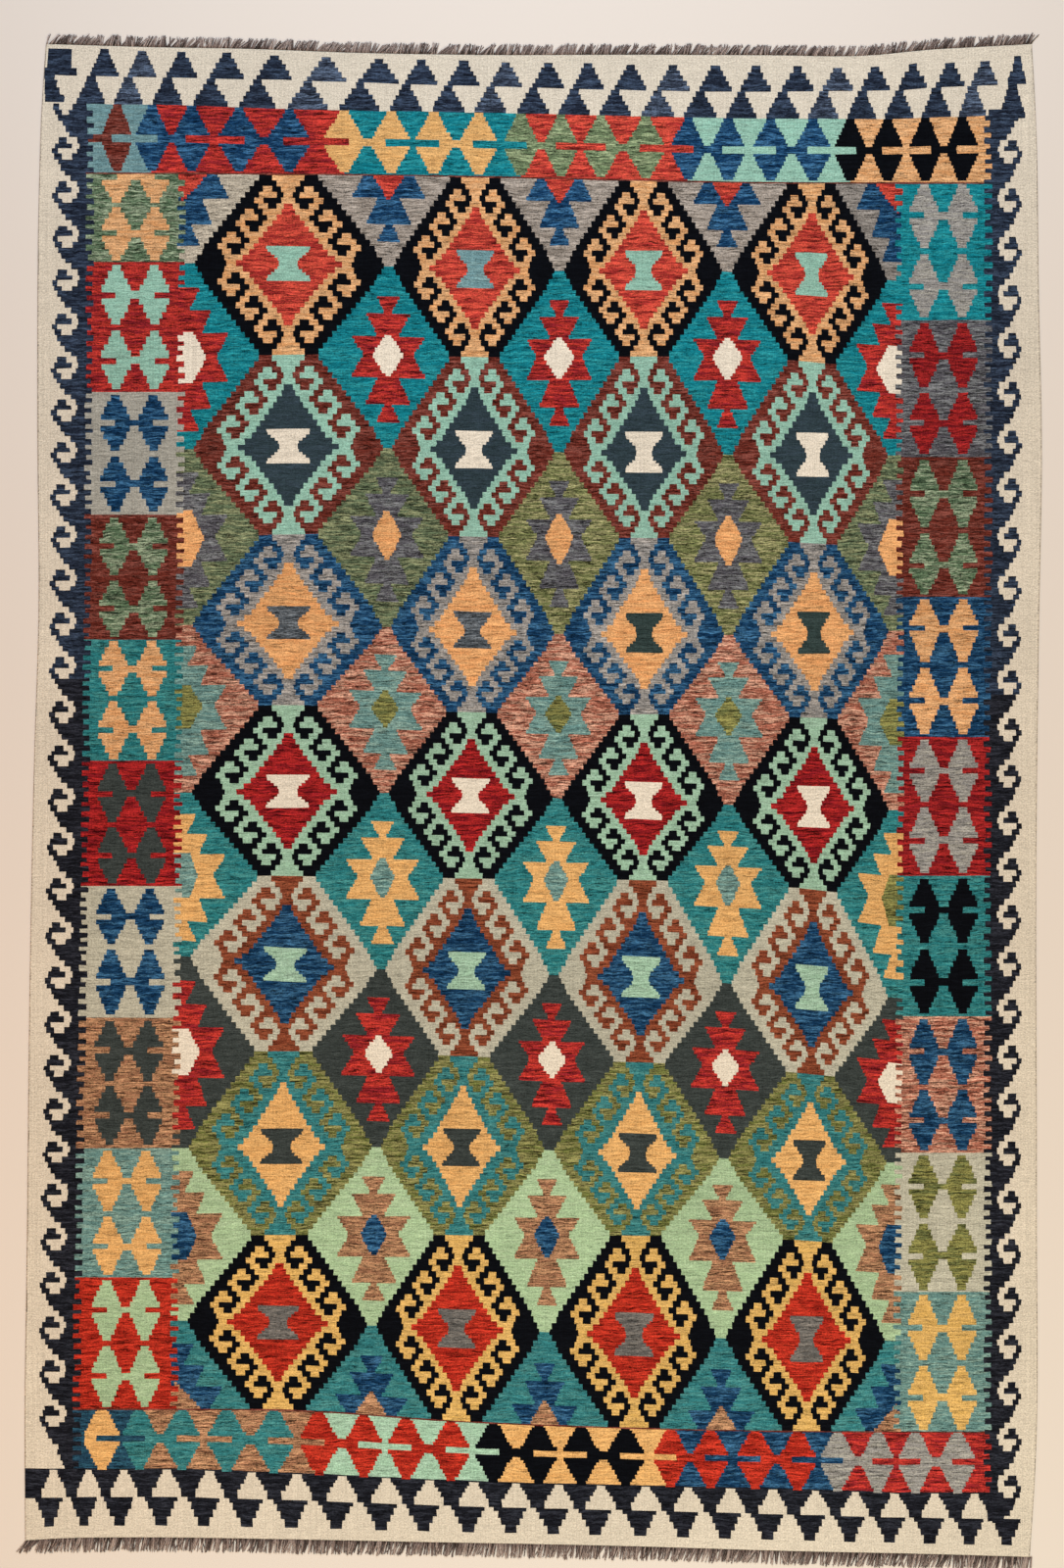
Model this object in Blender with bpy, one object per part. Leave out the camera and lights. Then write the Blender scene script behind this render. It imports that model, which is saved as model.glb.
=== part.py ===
"""A flat-woven wool rug of about 2 by 3 metres, laid out flat.

Three solids: the woven cloth, one thin sheet with the uneven outline and the few soft rises of a
real hand-woven rug, and at each end a fringe of cut warp ends, whose roots are fused into a narrow
strip just off the cloth's edge. Metres, +Z up. +X runs across the rug, +Y along it, and the origin
is on the floor under the middle of the whole rug.
"""

import math
import random

import bmesh
import bpy
import numpy as np

# Driving dimensions, in metres
CLOTH_THICKNESS = 0.003
CLOTH_LENGTH_LEFT = 3.000  # down the left selvedge
CLOTH_LENGTH_RIGHT = 3.033  # down the right selvedge
FAR_CORNER_Y = 1.513  # height of both far corners above the middle of the rug
COLUMNS = 32  # facets of the cloth across
ROWS = 44  # facets of the cloth along

STRANDS_PER_COLUMN = 4
STRIP_GAP = 0.0004  # between the cloth's edge and the strip that holds the fringe
STRIP_WIDTH = 0.004
STRIP_THICKNESS = 0.0026
STRAND_ROOT_SHARE = 0.62  # of the pitch, the width of a lock of warp ends at its root
STRAND_TIP_SHARE = 0.45  # of its root width, the width of its tip
STRAND_TIP_THICKNESS = 0.0016
STRAND_LEAN = 0.0035  # how far a tip may lie to either side of its root
FRINGE_FAR_LENGTH = 0.021
FRINGE_NEAR_LENGTH = 0.026
FRINGE_UNEVEN = 0.16  # share by which a strand may be longer or shorter

# The selvedges: distance up from the middle of the rug, and distance across from it
LEFT_SELVEDGE = (
    # height, across
    (-1.487, -1.0190),
    (-1.250, -1.0200),
    (-0.895, -1.0155),
    (-0.385, -1.0100),
    (0.110, -1.0000),
    (0.345, -0.9925),
    (0.775, -0.9945),
    (1.210, -0.9915),
    (1.395, -0.9855),
    (1.513, -0.9775),
)
RIGHT_SELVEDGE = (
    # height, across
    (-1.520, 0.9950),
    (-1.345, 1.0060),
    (-0.815, 1.0090),
    (-0.120, 1.0080),
    (0.325, 1.0130),
    (0.715, 1.0190),
    (1.010, 1.0130),
    (1.365, 1.0070),
    (1.513, 0.9990),
)

# The two ends: share of the way across, and how far the edge lies below or above the corners' line
FAR_END = (
    # share, drop
    (0.00, 0.0000),
    (0.05, -0.0030),
    (0.10, -0.0060),
    (0.20, -0.0095),
    (0.32, -0.0180),
    (0.45, -0.0220),
    (0.60, -0.0215),
    (0.73, -0.0225),
    (0.84, -0.0225),
    (0.89, -0.0125),
    (0.95, -0.0055),
    (1.00, 0.0000),
)
NEAR_END = (
    # share, rise
    (0.00, 0.0000),
    (0.04, 0.0060),
    (0.10, 0.0095),
    (0.26, 0.0110),
    (0.40, 0.0100),
    (0.60, 0.0085),
    (0.76, 0.0040),
    (0.90, 0.0025),
    (1.00, 0.0000),
)

# The soft rises where the cloth doesn't quite lie down
RISES = (
    # across, height, half_width, half_length, rise
    (-0.400, 1.290, 0.075, 0.110, 0.0060),
    (-0.230, 1.270, 0.070, 0.100, 0.0040),
    (0.560, 1.285, 0.075, 0.115, 0.0060),
    (0.720, 1.270, 0.070, 0.100, 0.0035),
    (-0.620, -1.120, 0.190, 0.075, 0.0045),
    (-0.250, -1.230, 0.200, 0.080, 0.0040),
    (0.420, -1.180, 0.210, 0.085, 0.0035),
    (-0.880, 0.480, 0.065, 0.300, 0.0035),
    (0.900, 0.560, 0.065, 0.280, 0.0035),
)
RISE_FLOOR = 0.0004  # what is lower than this lies flat


def smooth_between(table, at):
    """The value of a two-column table at a place, on a curve through all its rows."""
    places, values = np.array(table).T
    slopes = np.gradient(values, places)
    k = int(np.clip(np.searchsorted(places, at) - 1, 0, len(places) - 2))
    width = places[k + 1] - places[k]
    t = (at - places[k]) / width
    start = (1 + 2 * t) * (1 - t) ** 2 * values[k] + t * (1 - t) ** 2 * width * slopes[k]
    end = t * t * (3 - 2 * t) * values[k + 1] + t * t * (t - 1) * width * slopes[k + 1]
    return float(start + end)


def corner(side, end):
    """A corner of the cloth: side 0 is left and 1 right, end 0 is near and 1 far."""
    selvedge = (LEFT_SELVEDGE, RIGHT_SELVEDGE)[side]
    height = FAR_CORNER_Y
    if end == 0:
        height -= (CLOTH_LENGTH_LEFT, CLOTH_LENGTH_RIGHT)[side]
    return np.array((smooth_between(selvedge, height), height))


def on_selvedge(side, t):
    height = (1 - t) * corner(side, 0)[1] + t * corner(side, 1)[1]
    selvedge = (LEFT_SELVEDGE, RIGHT_SELVEDGE)[side]
    return np.array((smooth_between(selvedge, height), height))


def on_end(end, s):
    point = (1 - s) * corner(0, end) + s * corner(1, end)
    point[1] += smooth_between((NEAR_END, FAR_END)[end], s)
    return point


def cloth_point(s, t):
    """A place on the cloth from its shares across and along, in the plane of the floor."""
    sides = (1 - s) * on_selvedge(0, t) + s * on_selvedge(1, t)
    ends = (1 - t) * on_end(0, s) + t * on_end(1, s)
    near = (1 - s) * corner(0, 0) + s * corner(1, 0)
    far = (1 - s) * corner(0, 1) + s * corner(1, 1)
    return sides + ends - (1 - t) * near - t * far


def rise_at(point):
    total = 0.0
    for across, height, half_width, half_length, rise in RISES:
        u = (point[0] - across) / half_width
        v = (point[1] - height) / half_length
        total += rise * math.exp(-(u * u) - v * v)
    return max(0.0, total - RISE_FLOOR)


def new_object(name, shape, colour, roughness):
    """One named object from a finished bmesh, with its own material."""
    mesh = bpy.data.meshes.new(name)
    shape.to_mesh(mesh)
    shape.free()
    obj = bpy.data.objects.new(name, mesh)
    bpy.context.scene.collection.objects.link(obj)
    material = bpy.data.materials.new(name + "_wool")
    material.use_nodes = True
    shader = material.node_tree.nodes["Principled BSDF"]
    shader.inputs["Base Color"].default_value = (*colour, 1.0)
    shader.inputs["Roughness"].default_value = roughness
    shader.inputs["Metallic"].default_value = 0.0
    mesh.materials.append(material)
    return obj


def build_cloth():
    """The woven sheet: a top and an underside on the same grid, closed by a narrow rim."""
    bm = bmesh.new()
    under, top = [], []
    for j in range(ROWS + 1):
        for i in range(COLUMNS + 1):
            point = cloth_point(i / COLUMNS, j / ROWS)
            rise = rise_at(point)
            under.append(bm.verts.new((point[0], point[1], rise)))
            top.append(bm.verts.new((point[0], point[1], rise + CLOTH_THICKNESS)))
    across = COLUMNS + 1
    for j in range(ROWS):
        for i in range(COLUMNS):
            a, b = j * across + i, j * across + i + 1
            c, d = b + across, a + across
            bm.faces.new((top[a], top[b], top[c], top[d]))
            bm.faces.new((under[d], under[c], under[b], under[a]))
    near = list(range(across))
    right = [j * across + COLUMNS for j in range(ROWS + 1)]
    far = [ROWS * across + i for i in reversed(range(across))]
    left = [j * across for j in reversed(range(ROWS + 1))]
    for side in (near, right, far, left):
        for a, b in zip(side, side[1:]):
            bm.faces.new((under[a], under[b], top[b], top[a]))
    return new_object("kilim", bm, (0.42, 0.22, 0.18), 0.9)


def fringe_stations(end):
    """Points along one end of the cloth, each cloth facet cut into as many parts as it has strands."""
    corners = [cloth_point(i / COLUMNS, end) for i in range(COLUMNS + 1)]
    stations = []
    for a, b in zip(corners, corners[1:]):
        stations += [a + (b - a) * k / STRANDS_PER_COLUMN for k in range(STRANDS_PER_COLUMN)]
    return stations + [corners[-1]]


def build_fringe(name, end, length, seed):
    """A strip along one end with a three-sided strand of warp ends in each of its divisions.

    A strand's root is a triangle in the strip's outer wall, wide at the floor and narrow on top. It
    runs out over the floor through one bend to a small blunt tip, resting on its flat side.
    """
    rng = random.Random(seed)
    away = 1.0 if end else -1.0
    bm = bmesh.new()
    stations = fringe_stations(end)
    root_y = away * (STRIP_GAP + STRIP_WIDTH)

    def vert(x, y, z):
        return bm.verts.new((x, y, z))

    def face(*verts):
        bm.faces.new(verts)

    inner_low = [vert(p[0], p[1] + away * STRIP_GAP, 0.0) for p in stations]
    inner_top = [vert(p[0], p[1] + away * STRIP_GAP, STRIP_THICKNESS) for p in stations]
    start_low = vert(stations[0][0], stations[0][1] + root_y, 0.0)
    start_top = vert(stations[0][0], stations[0][1] + root_y, STRIP_THICKNESS)
    last_low, last_top = start_low, start_top
    for k, (a, b) in enumerate(zip(stations, stations[1:])):
        pitch, middle = b[0] - a[0], (a + b) / 2
        half_root = pitch * STRAND_ROOT_SHARE / 2
        slope = (b[1] - a[1]) / pitch
        reach = length * (1 + rng.uniform(-FRINGE_UNEVEN, FRINGE_UNEVEN))
        lean = rng.uniform(-STRAND_LEAN, STRAND_LEAN)
        bend = lean * rng.uniform(0.1, 0.6)
        rings = []
        for share, shift in ((0.0, 0.0), (0.5, bend), (1.0, lean)):
            half = half_root * (1 - share * (1 - STRAND_TIP_SHARE))
            ridge = STRIP_THICKNESS + share * (STRAND_TIP_THICKNESS - STRIP_THICKNESS)
            x, y = middle[0] + shift, middle[1] + root_y + away * share * reach
            tilt = slope * (1 - share)
            rings.append(
                (
                    vert(x - half, y - half * tilt, 0.0),
                    vert(x + half, y + half * tilt, 0.0),
                    vert(x, y, ridge),
                )
            )
        root = rings[0]
        face(last_low, root[0], root[2], last_top)
        for (l0, r0, t0), (l1, r1, t1) in zip(rings, rings[1:]):
            face(l0, l1, t1, t0)
            face(t0, t1, r1, r0)
            face(r0, r1, l1, l0)
        face(*rings[-1])
        face(inner_top[k], last_top, root[2])
        face(inner_top[k], root[2], inner_top[k + 1])
        face(inner_low[k], root[0], last_low)
        face(inner_low[k], root[1], root[0])
        face(inner_low[k], inner_low[k + 1], root[1])
        face(inner_low[k], inner_top[k], inner_top[k + 1], inner_low[k + 1])
        last_low, last_top = root[1], root[2]
    end_low = vert(stations[-1][0], stations[-1][1] + root_y, 0.0)
    end_top = vert(stations[-1][0], stations[-1][1] + root_y, STRIP_THICKNESS)
    face(last_low, end_low, end_top, last_top)
    face(inner_top[-1], last_top, end_top)
    face(inner_low[-1], end_low, last_low)
    face(inner_low[0], start_low, start_top, inner_top[0])
    face(inner_low[-1], inner_top[-1], end_top, end_low)
    bmesh.ops.recalc_face_normals(bm, faces=bm.faces)
    return new_object(name, bm, (0.30, 0.27, 0.25), 0.95)


def centre_on_floor(objects):
    """Puts the origin under the middle of everything."""
    corners = np.array([v.co for obj in objects for v in obj.data.vertices])
    middle = (corners.min(axis=0) + corners.max(axis=0)) / 2
    for obj in objects:
        obj.location = (-middle[0], -middle[1], 0.0)


def main():
    for obj in list(bpy.data.objects):
        bpy.data.objects.remove(obj)
    cloth = build_cloth()
    far = build_fringe("fringe_far", 1, FRINGE_FAR_LENGTH, 11)
    near = build_fringe("fringe_near", 0, FRINGE_NEAR_LENGTH, 23)
    centre_on_floor((cloth, far, near))


main()
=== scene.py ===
"""A flat-woven wool rug of about 2 by 3 metres, laid out flat on a pale floor.

The pattern is woven from a chart, as at a loom: a table of weft rows and warp columns in which each
cell holds one lot of dyed yarn. Small functions weave the motifs into the chart, and the finished
chart becomes one sheet of cloth whose rows and columns follow the uneven lines of the real weaving.
A fringe of cut warp ends lies at each end. Metres, +Z up; +X runs across the rug, +Y along it.
"""

import bisect
import math
import random

import bpy
import numpy as np
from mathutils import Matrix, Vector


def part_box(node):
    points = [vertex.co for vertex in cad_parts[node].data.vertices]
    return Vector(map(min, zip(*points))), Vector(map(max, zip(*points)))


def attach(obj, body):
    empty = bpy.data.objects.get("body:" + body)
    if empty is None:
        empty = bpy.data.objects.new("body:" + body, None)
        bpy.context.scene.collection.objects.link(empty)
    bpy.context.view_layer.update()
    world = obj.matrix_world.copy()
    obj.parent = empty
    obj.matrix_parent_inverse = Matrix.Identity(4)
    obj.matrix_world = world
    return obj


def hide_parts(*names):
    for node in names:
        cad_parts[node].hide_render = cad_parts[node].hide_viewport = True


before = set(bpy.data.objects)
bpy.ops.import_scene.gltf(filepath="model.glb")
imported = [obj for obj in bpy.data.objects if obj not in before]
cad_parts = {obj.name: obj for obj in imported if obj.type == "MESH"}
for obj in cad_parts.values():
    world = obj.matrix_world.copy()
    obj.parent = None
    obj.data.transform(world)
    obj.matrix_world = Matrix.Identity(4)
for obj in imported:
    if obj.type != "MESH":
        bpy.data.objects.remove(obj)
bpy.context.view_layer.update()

bl_info = {
    "name": "Kilim rug",
    "version": (1, 0, 0),
    "blender": (4, 5, 0),
    "location": "3D View > Sidebar > Kilim",
    "description": "Weaves a flat wool rug with hooked medallions, lays its fringes and lights it",
    "category": "Add Mesh",
}

# ---------------------------------------------------------------------------------------------
# The outline, as the loom left it. Distances from the middle of the rug, in metres.

CLOTH_THICKNESS = 0.003
CLOTH_LENGTH_LEFT = 3.000
CLOTH_LENGTH_RIGHT = 3.033
FAR_CORNER_Y = 1.513

LEFT_SELVEDGE = (
    # height, across
    (-1.487, -1.0190),
    (-1.250, -1.0200),
    (-0.895, -1.0155),
    (-0.385, -1.0100),
    (0.110, -1.0000),
    (0.345, -0.9925),
    (0.775, -0.9945),
    (1.210, -0.9915),
    (1.395, -0.9855),
    (1.513, -0.9775),
)
RIGHT_SELVEDGE = (
    # height, across
    (-1.520, 0.9950),
    (-1.345, 1.0060),
    (-0.815, 1.0090),
    (-0.120, 1.0080),
    (0.325, 1.0130),
    (0.715, 1.0190),
    (1.010, 1.0130),
    (1.365, 1.0070),
    (1.513, 0.9990),
)
FAR_END = (
    # share of the way across, drop below the corners' line
    (0.00, 0.0000),
    (0.05, -0.0030),
    (0.10, -0.0060),
    (0.20, -0.0095),
    (0.32, -0.0180),
    (0.45, -0.0220),
    (0.60, -0.0215),
    (0.73, -0.0225),
    (0.84, -0.0225),
    (0.89, -0.0125),
    (0.95, -0.0055),
    (1.00, 0.0000),
)
NEAR_END = (
    # share of the way across, rise above the corners' line
    (0.00, 0.0000),
    (0.04, 0.0060),
    (0.10, 0.0095),
    (0.26, 0.0110),
    (0.40, 0.0100),
    (0.60, 0.0085),
    (0.76, 0.0040),
    (0.90, 0.0025),
    (1.00, 0.0000),
)
RISES = (
    # across, height, half_width, half_length, rise
    (-0.400, 1.290, 0.075, 0.110, 0.0060),
    (-0.230, 1.270, 0.070, 0.100, 0.0040),
    (0.560, 1.285, 0.075, 0.115, 0.0060),
    (0.720, 1.270, 0.070, 0.100, 0.0035),
    (-0.620, -1.120, 0.190, 0.075, 0.0045),
    (-0.250, -1.230, 0.200, 0.080, 0.0040),
    (0.420, -1.180, 0.210, 0.085, 0.0035),
    (-0.880, 0.480, 0.065, 0.300, 0.0035),
    (0.900, 0.560, 0.065, 0.280, 0.0035),
)
RISE_FLOOR = 0.0004

SELVEDGE_SAMPLES = 400
BEYOND = 1.06  # across, past both selvedges
BEYOND_ENDS = 1.56  # along, past both ends

# ---------------------------------------------------------------------------------------------
# The chart's rows and columns, and the lines that they follow on the real rug.

FAR_BORDER_ROW = 40
FIELD_ROW = 84
ROWS_PER_CELL = 4
HALF_MEDALLION_ROWS = 62
NEAR_BORDER_ROW = FIELD_ROW + 14 * HALF_MEDALLION_ROWS
NEAR_TEETH_ROW = NEAR_BORDER_ROW + 40
ROWS = NEAR_TEETH_ROW + 46

LEFT_COLUMN = 50
FIELD_LEFT = 142
FIELD_RIGHT = 852
RIGHT_COLUMN = 944
COLUMNS = 990
COLUMNS_PER_CELL = 4
MEDALLION_MIDDLES = (236, 409, 583, 757)
MEDALLION_GAPS = (322, 496, 670)

STATIONS = (-0.705, -0.495, -0.115, 0.560, 0.735)  # places across, for the next table
FAR_TEETH_ROW = 21  # where the upper steps of the far teeth end
WEFT_ROWS = (
    FAR_TEETH_ROW,
    FAR_BORDER_ROW,
    *range(FIELD_ROW, NEAR_BORDER_ROW + 1, HALF_MEDALLION_ROWS),
    NEAR_TEETH_ROW,
)
WEFT_LINES = (
    # each of those rows' height above the middle of the rug, at each station
    (1.445, 1.440, 1.428, 1.417, 1.420),
    (1.390, 1.382, 1.375, 1.362, 1.362),
    (1.252, 1.250, 1.245, 1.232, 1.232),
    (1.073, 1.073, 1.060, 1.050, 1.038),
    (0.883, 0.890, 0.885, 0.875, 0.857),
    (0.700, 0.706, 0.698, 0.688, 0.688),
    (0.520, 0.530, 0.525, 0.512, 0.498),
    (0.348, 0.352, 0.335, 0.331, 0.337),
    (0.185, 0.187, 0.173, 0.162, 0.152),
    (0.012, 0.015, 0.006, -0.018, -0.023),
    (-0.154, -0.155, -0.160, -0.182, -0.204),
    (-0.315, -0.333, -0.347, -0.383, -0.400),
    (-0.507, -0.506, -0.517, -0.552, -0.573),
    (-0.700, -0.698, -0.700, -0.727, -0.730),
    (-0.878, -0.874, -0.875, -0.887, -0.902),
    (-1.046, -1.050, -1.064, -1.085, -1.087),
    (-1.222, -1.224, -1.248, -1.267, -1.268),
    (-1.342, -1.350, -1.367, -1.384, -1.390),
)
HEIGHTS = (-1.060, -0.010, 1.070)  # for the next table
WARP_LINES = (
    # column, its place across at each height
    (LEFT_COLUMN, (-0.915, -0.898, -0.889)),
    (FIELD_LEFT, (-0.720, -0.713, -0.706)),
    (MEDALLION_MIDDLES[0], (-0.512, -0.492, -0.492)),
    (MEDALLION_GAPS[0], (-0.325, -0.300, -0.290)),
    (MEDALLION_MIDDLES[1], (-0.155, -0.127, -0.116)),
    (MEDALLION_GAPS[1], (0.022, 0.048, 0.052)),
    (MEDALLION_MIDDLES[2], (0.202, 0.221, 0.221)),
    (MEDALLION_GAPS[2], (0.376, 0.391, 0.388)),
    (MEDALLION_MIDDLES[3], (0.548, 0.563, 0.558)),
    (FIELD_RIGHT, (0.729, 0.735, 0.732)),
    (RIGHT_COLUMN, (0.910, 0.910, 0.911)),
)

# ---------------------------------------------------------------------------------------------
# The yarns: the colour of each, the colour of its streaks, and how strongly it is streaked and
# marked with painted groove shade and highlights.

DYES = {
    "cream": ("E0D8C8", "D0C8B8", 0.10),
    # painted shade: a darker cream on the outermost warps stands in for the shade along the rounded
    # selvedges
    "worn": ("C8C0B0", "B0A898", 0.40),
    "navy": ("202838", "405068", 0.55),
    "ink": ("181A22", "343844", 0.50),
    "black": ("080A10", "141820", 0.20),
    "white": ("F0E8D8", "E0D8C8", 0.15),
    "apricot": ("E0B080", "C88850", 0.45),
    "coral": ("D05040", "902828", 0.70),
    "mint": ("90C0B0", "A8D0C0", 0.25),
    "grey_teal": ("7098A0", "88A8A8", 0.35),
    "rust": ("602820", "804840", 0.70),
    "slate": ("304048", "405060", 0.30),
    "blue": ("103458", "3C6C94", 0.65),
    "dove": ("888888", "A8A4A0", 0.60),
    "orange": ("E8B078", "D89058", 0.40),
    "slate_grey": ("485058", "687078", 0.80),
    "green_slate": ("304040", "405050", 0.35),
    "leaf_mint": ("98C0A8", "B0D0C0", 0.25),
    "crimson": ("A82828", "781820", 0.80),
    "ash": ("B8B8A8", "C8C8B8", 0.25),
    "brown": ("905038", "683020", 0.60),
    "cobalt": ("103458", "3C6C94", 0.65),
    "pale_mint": ("A0C8B0", "B0D0C0", 0.30),
    "khaki": ("888858", "606838", 0.85),
    "teal": ("307880", "509090", 0.50),
    "honey": ("E8B878", "D09858", 0.35),
    "moss": ("506850", "889880", 0.85),
    "fern": ("687C5C", "90A07C", 0.75),
    "silver": ("909090", "A8A8A0", 0.50),
    "garnet": ("A02828", "701820", 0.75),
    "oat": ("C0B8A8", "A8A090", 0.50),
    "stone": ("908C88", "706C68", 0.60),
    "leaf": ("687048", "909068", 0.90),
    "petrol": ("204058", "306078", 0.60),
    "charcoal": ("384040", "485050", 0.35),
    "yellow": ("E0B870", "C8A050", 0.35),
    "vermilion": ("C03828", "902018", 0.70),
    "mid_grey": ("606060", "888480", 0.45),
    "warm_grey": ("A8A098", "807870", 0.60),
    "turquoise": ("107888", "3098A0", 0.50),
    "red": ("B83830", "802028", 0.80),
    "sage": ("586850", "808868", 0.85),
    "olive": ("888850", "606840", 0.80),
    "storm": ("505058", "707478", 0.85),
    "salmon": ("985C4C", "C09480", 0.90),
    "sea": ("608888", "88A8A0", 0.55),
    "deep_teal": ("287880", "489090", 0.55),
    "celadon": ("A8C8A0", "B8D0B0", 0.25),
    "tan": ("B08868", "906850", 0.90),
    "pebble": ("A8A8A0", "B8B8B0", 0.25),
    "dusk": ("303848", "586880", 0.70),
}

# The field. Each row of medallions: outline, hooks and frame, inner ground, middle.
MEDALLION_ROWS = (
    ("black", "apricot", "coral", "mint"),
    ("rust", "mint", "slate", "white"),
    ("blue", "dove", "orange", "slate_grey"),
    ("black", "leaf_mint", "crimson", "white"),
    ("ash", "brown", "cobalt", "pale_mint"),
    ("khaki", "teal", "honey", "charcoal"),
    ("black", "yellow", "vermilion", "mid_grey"),
)
# Between the medallions, from the far end: ground, star, the star's middle.
STAR_ROWS = (
    ("warm_grey", "blue", "coral"),
    ("turquoise", "red", "white"),
    ("sage", "storm", "orange"),
    ("salmon", "sea", "olive"),
    ("deep_teal", "honey", "sea"),
    ("charcoal", "red", "white"),
    ("celadon", "tan", "cobalt"),
    ("teal", "blue", "tan"),
)
# Half of a medallion, row by row from its widest row out to its end. Each pair is a yarn and how
# many cells it reaches from the middle, the outermost first: O outline, F hooks and frame, I inner
# ground.
MEDALLION_CHART = (
    (("O", 20.5), ("F", 13.5), ("I", 11.5)),
    (("O", 20.0), ("F", 14.0), ("I", 10.0)),
    (("O", 19.0), ("F", 14.5), ("O", 12.5), ("F", 10.5), ("I", 8.5)),
    (("O", 18.5), ("F", 15.5), ("O", 13.5), ("F", 9.5), ("I", 7.5)),
    (("O", 17.5), ("F", 14.5), ("O", 10.5), ("F", 8.5), ("I", 6.5)),
    (("O", 16.5), ("F", 13.5), ("O", 11.5), ("F", 9.5), ("I", 5.5)),
    (("O", 15.5), ("F", 10.5), ("O", 8.5), ("F", 6.5), ("I", 4.5)),
    (("O", 14.5), ("F", 11.5), ("O", 9.5), ("F", 5.5), ("I", 3.5)),
    (("O", 13.5), ("F", 10.5), ("O", 6.5), ("F", 4.5), ("I", 2.5)),
    (("O", 12.5), ("F", 9.5), ("O", 7.5), ("F", 5.5), ("I", 1.5)),
    (("O", 11.5), ("F", 6.5), ("O", 4.5), ("F", 2.5), ("I", 1.0)),
    (("O", 10.5), ("F", 7.5), ("O", 5.5), ("F", 1.5)),
    (("O", 9.5), ("F", 6.5), ("O", 2.5), ("F", 1.0)),
    (("O", 8.5), ("F", 5.5), ("O", 3.5), ("F", 1.5)),
    (("O", 7.5), ("F", 2.5)),
    (("O", 6.5), ("F", 3.5)),
)
# The hourglass in a medallion's middle: its half widths in cells, from its waist outwards.
MIDDLE_STEPS = (2.1, 2.4, 3.3, 4.1, 4.9, 5.3)
MIDDLE_STEP_ROWS = 2.15
MIDDLE_SCALES = ((0.90, 0.95), (0.90, 1.00), (0.90, 1.05), (0.80, 1.15))  # width, height by column
INNER_WIDTHS = (1.0, 0.95, 0.95, 0.95, 0.95, 0.85, 1.0)  # of the inner ground, row by row
# By row and column of medallions.
OTHER_MIDDLES = {(0, 1): "grey_teal", (2, 2): "green_slate", (2, 3): "green_slate"}

# A star's wedges, from its middle out, and the lozenge in its middle. Heights in rows.
STAR_WEDGES = (
    # from_row, to_row, half width at each
    (0, 14, 0.046, 0.065),
    (14, 31, 0.020, 0.039),
    (31, 43, 0.007, 0.020),
)
STAR_MIDDLE = (14.5, 0.0295, 0.006)  # half height in rows, half width, half width of the tips
EDGE_STAR_WEDGES = (
    # the same for the half stars at the field's two edges
    (0, 16.5, 0.073, 0.095),
    (16.5, 33, 0.044, 0.060),
    (33, 48, 0.020, 0.037),
)
EDGE_STAR_MIDDLE = (17, 0.051, 0.025)
HALF_MIDDLE_TIP = 0.004  # the middles that the field's two ends cut in half run to a finer tip
HALF_MIDDLE_MORE_ROWS = 2
STAR_HALVES = (0.95, 1.05)  # how long each half of a star is, the far one and the near one
MIDDLE_WIDTHS = (1.0, 1.0, 0.95, 0.90, 0.80, 0.90, 0.85, 1.0)  # of the stars' middles, row by row
MIDDLE_HEIGHTS = (1.0, 1.0, 1.15, 0.95, 1.0, 0.90, 1.0, 1.0)
RIGHT_EDGE_SCALE = 0.88  # how wide the half stars at the field's right edge are
RIGHT_EDGE_MIDDLES = {4: "olive"}
# By row of stars and by stretch across the field, from the left.
OTHER_GROUNDS = {(0, 0): "oat", (0, 4): "stone", (2, 2): "leaf", (2, 3): "leaf"}
WEDGE_STEP_ROWS = 2.5
GAP_SCALES = (1.12, 1.0, 1.03)  # how wide the stars of each gap are

# The two borders of lozenges across the rug: ground, lozenges, and the middles of the four
# lozenges of each block, across.
FAR_BORDER = (
    ("red", "cobalt", (-0.765, -0.685, -0.590, -0.490)),
    ("turquoise", "honey", (-0.380, -0.285, -0.200, -0.110)),
    ("coral", "fern", (-0.025, 0.055, 0.135, 0.225)),
    ("mint", "cobalt", (0.310, 0.390, 0.475, 0.560)),
    ("apricot", "black", (0.635, 0.710, 0.785, 0.860)),
)
# The lone lozenge at each border's left end: ground, yarn, middle, half width, length of its bar.
FAR_BORDER_START = ("grey_teal", "rust", -0.835, 0.030, 0.06)
NEAR_BORDER = (
    ("tan", "teal", (-0.790, -0.705, -0.615, -0.520)),
    ("pale_mint", "vermilion", (-0.430, -0.340, -0.255, -0.165)),
    ("honey", "black", (-0.080, 0.010, 0.095, 0.185)),
    ("cobalt", "vermilion", (0.275, 0.355, 0.445, 0.530)),
    ("red", "silver", (0.610, 0.690, 0.765, 0.850)),
)
NEAR_BORDER_START = ("petrol", "honey", -0.865, 0.035, 0.0)
BORDER_LOZENGE = (21, 2.6, 0.41, 0.009)  # half height and step in rows, share of pitch, tip
BORDER_BAR_ROWS = 2.6
BORDER_SLOT_ROWS = 2.5
SLOT_PAST_MIDDLE = 0.011
LOZENGE_WAIST_ROWS = 2  # a lozenge keeps its full width so far from its middle row

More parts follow.
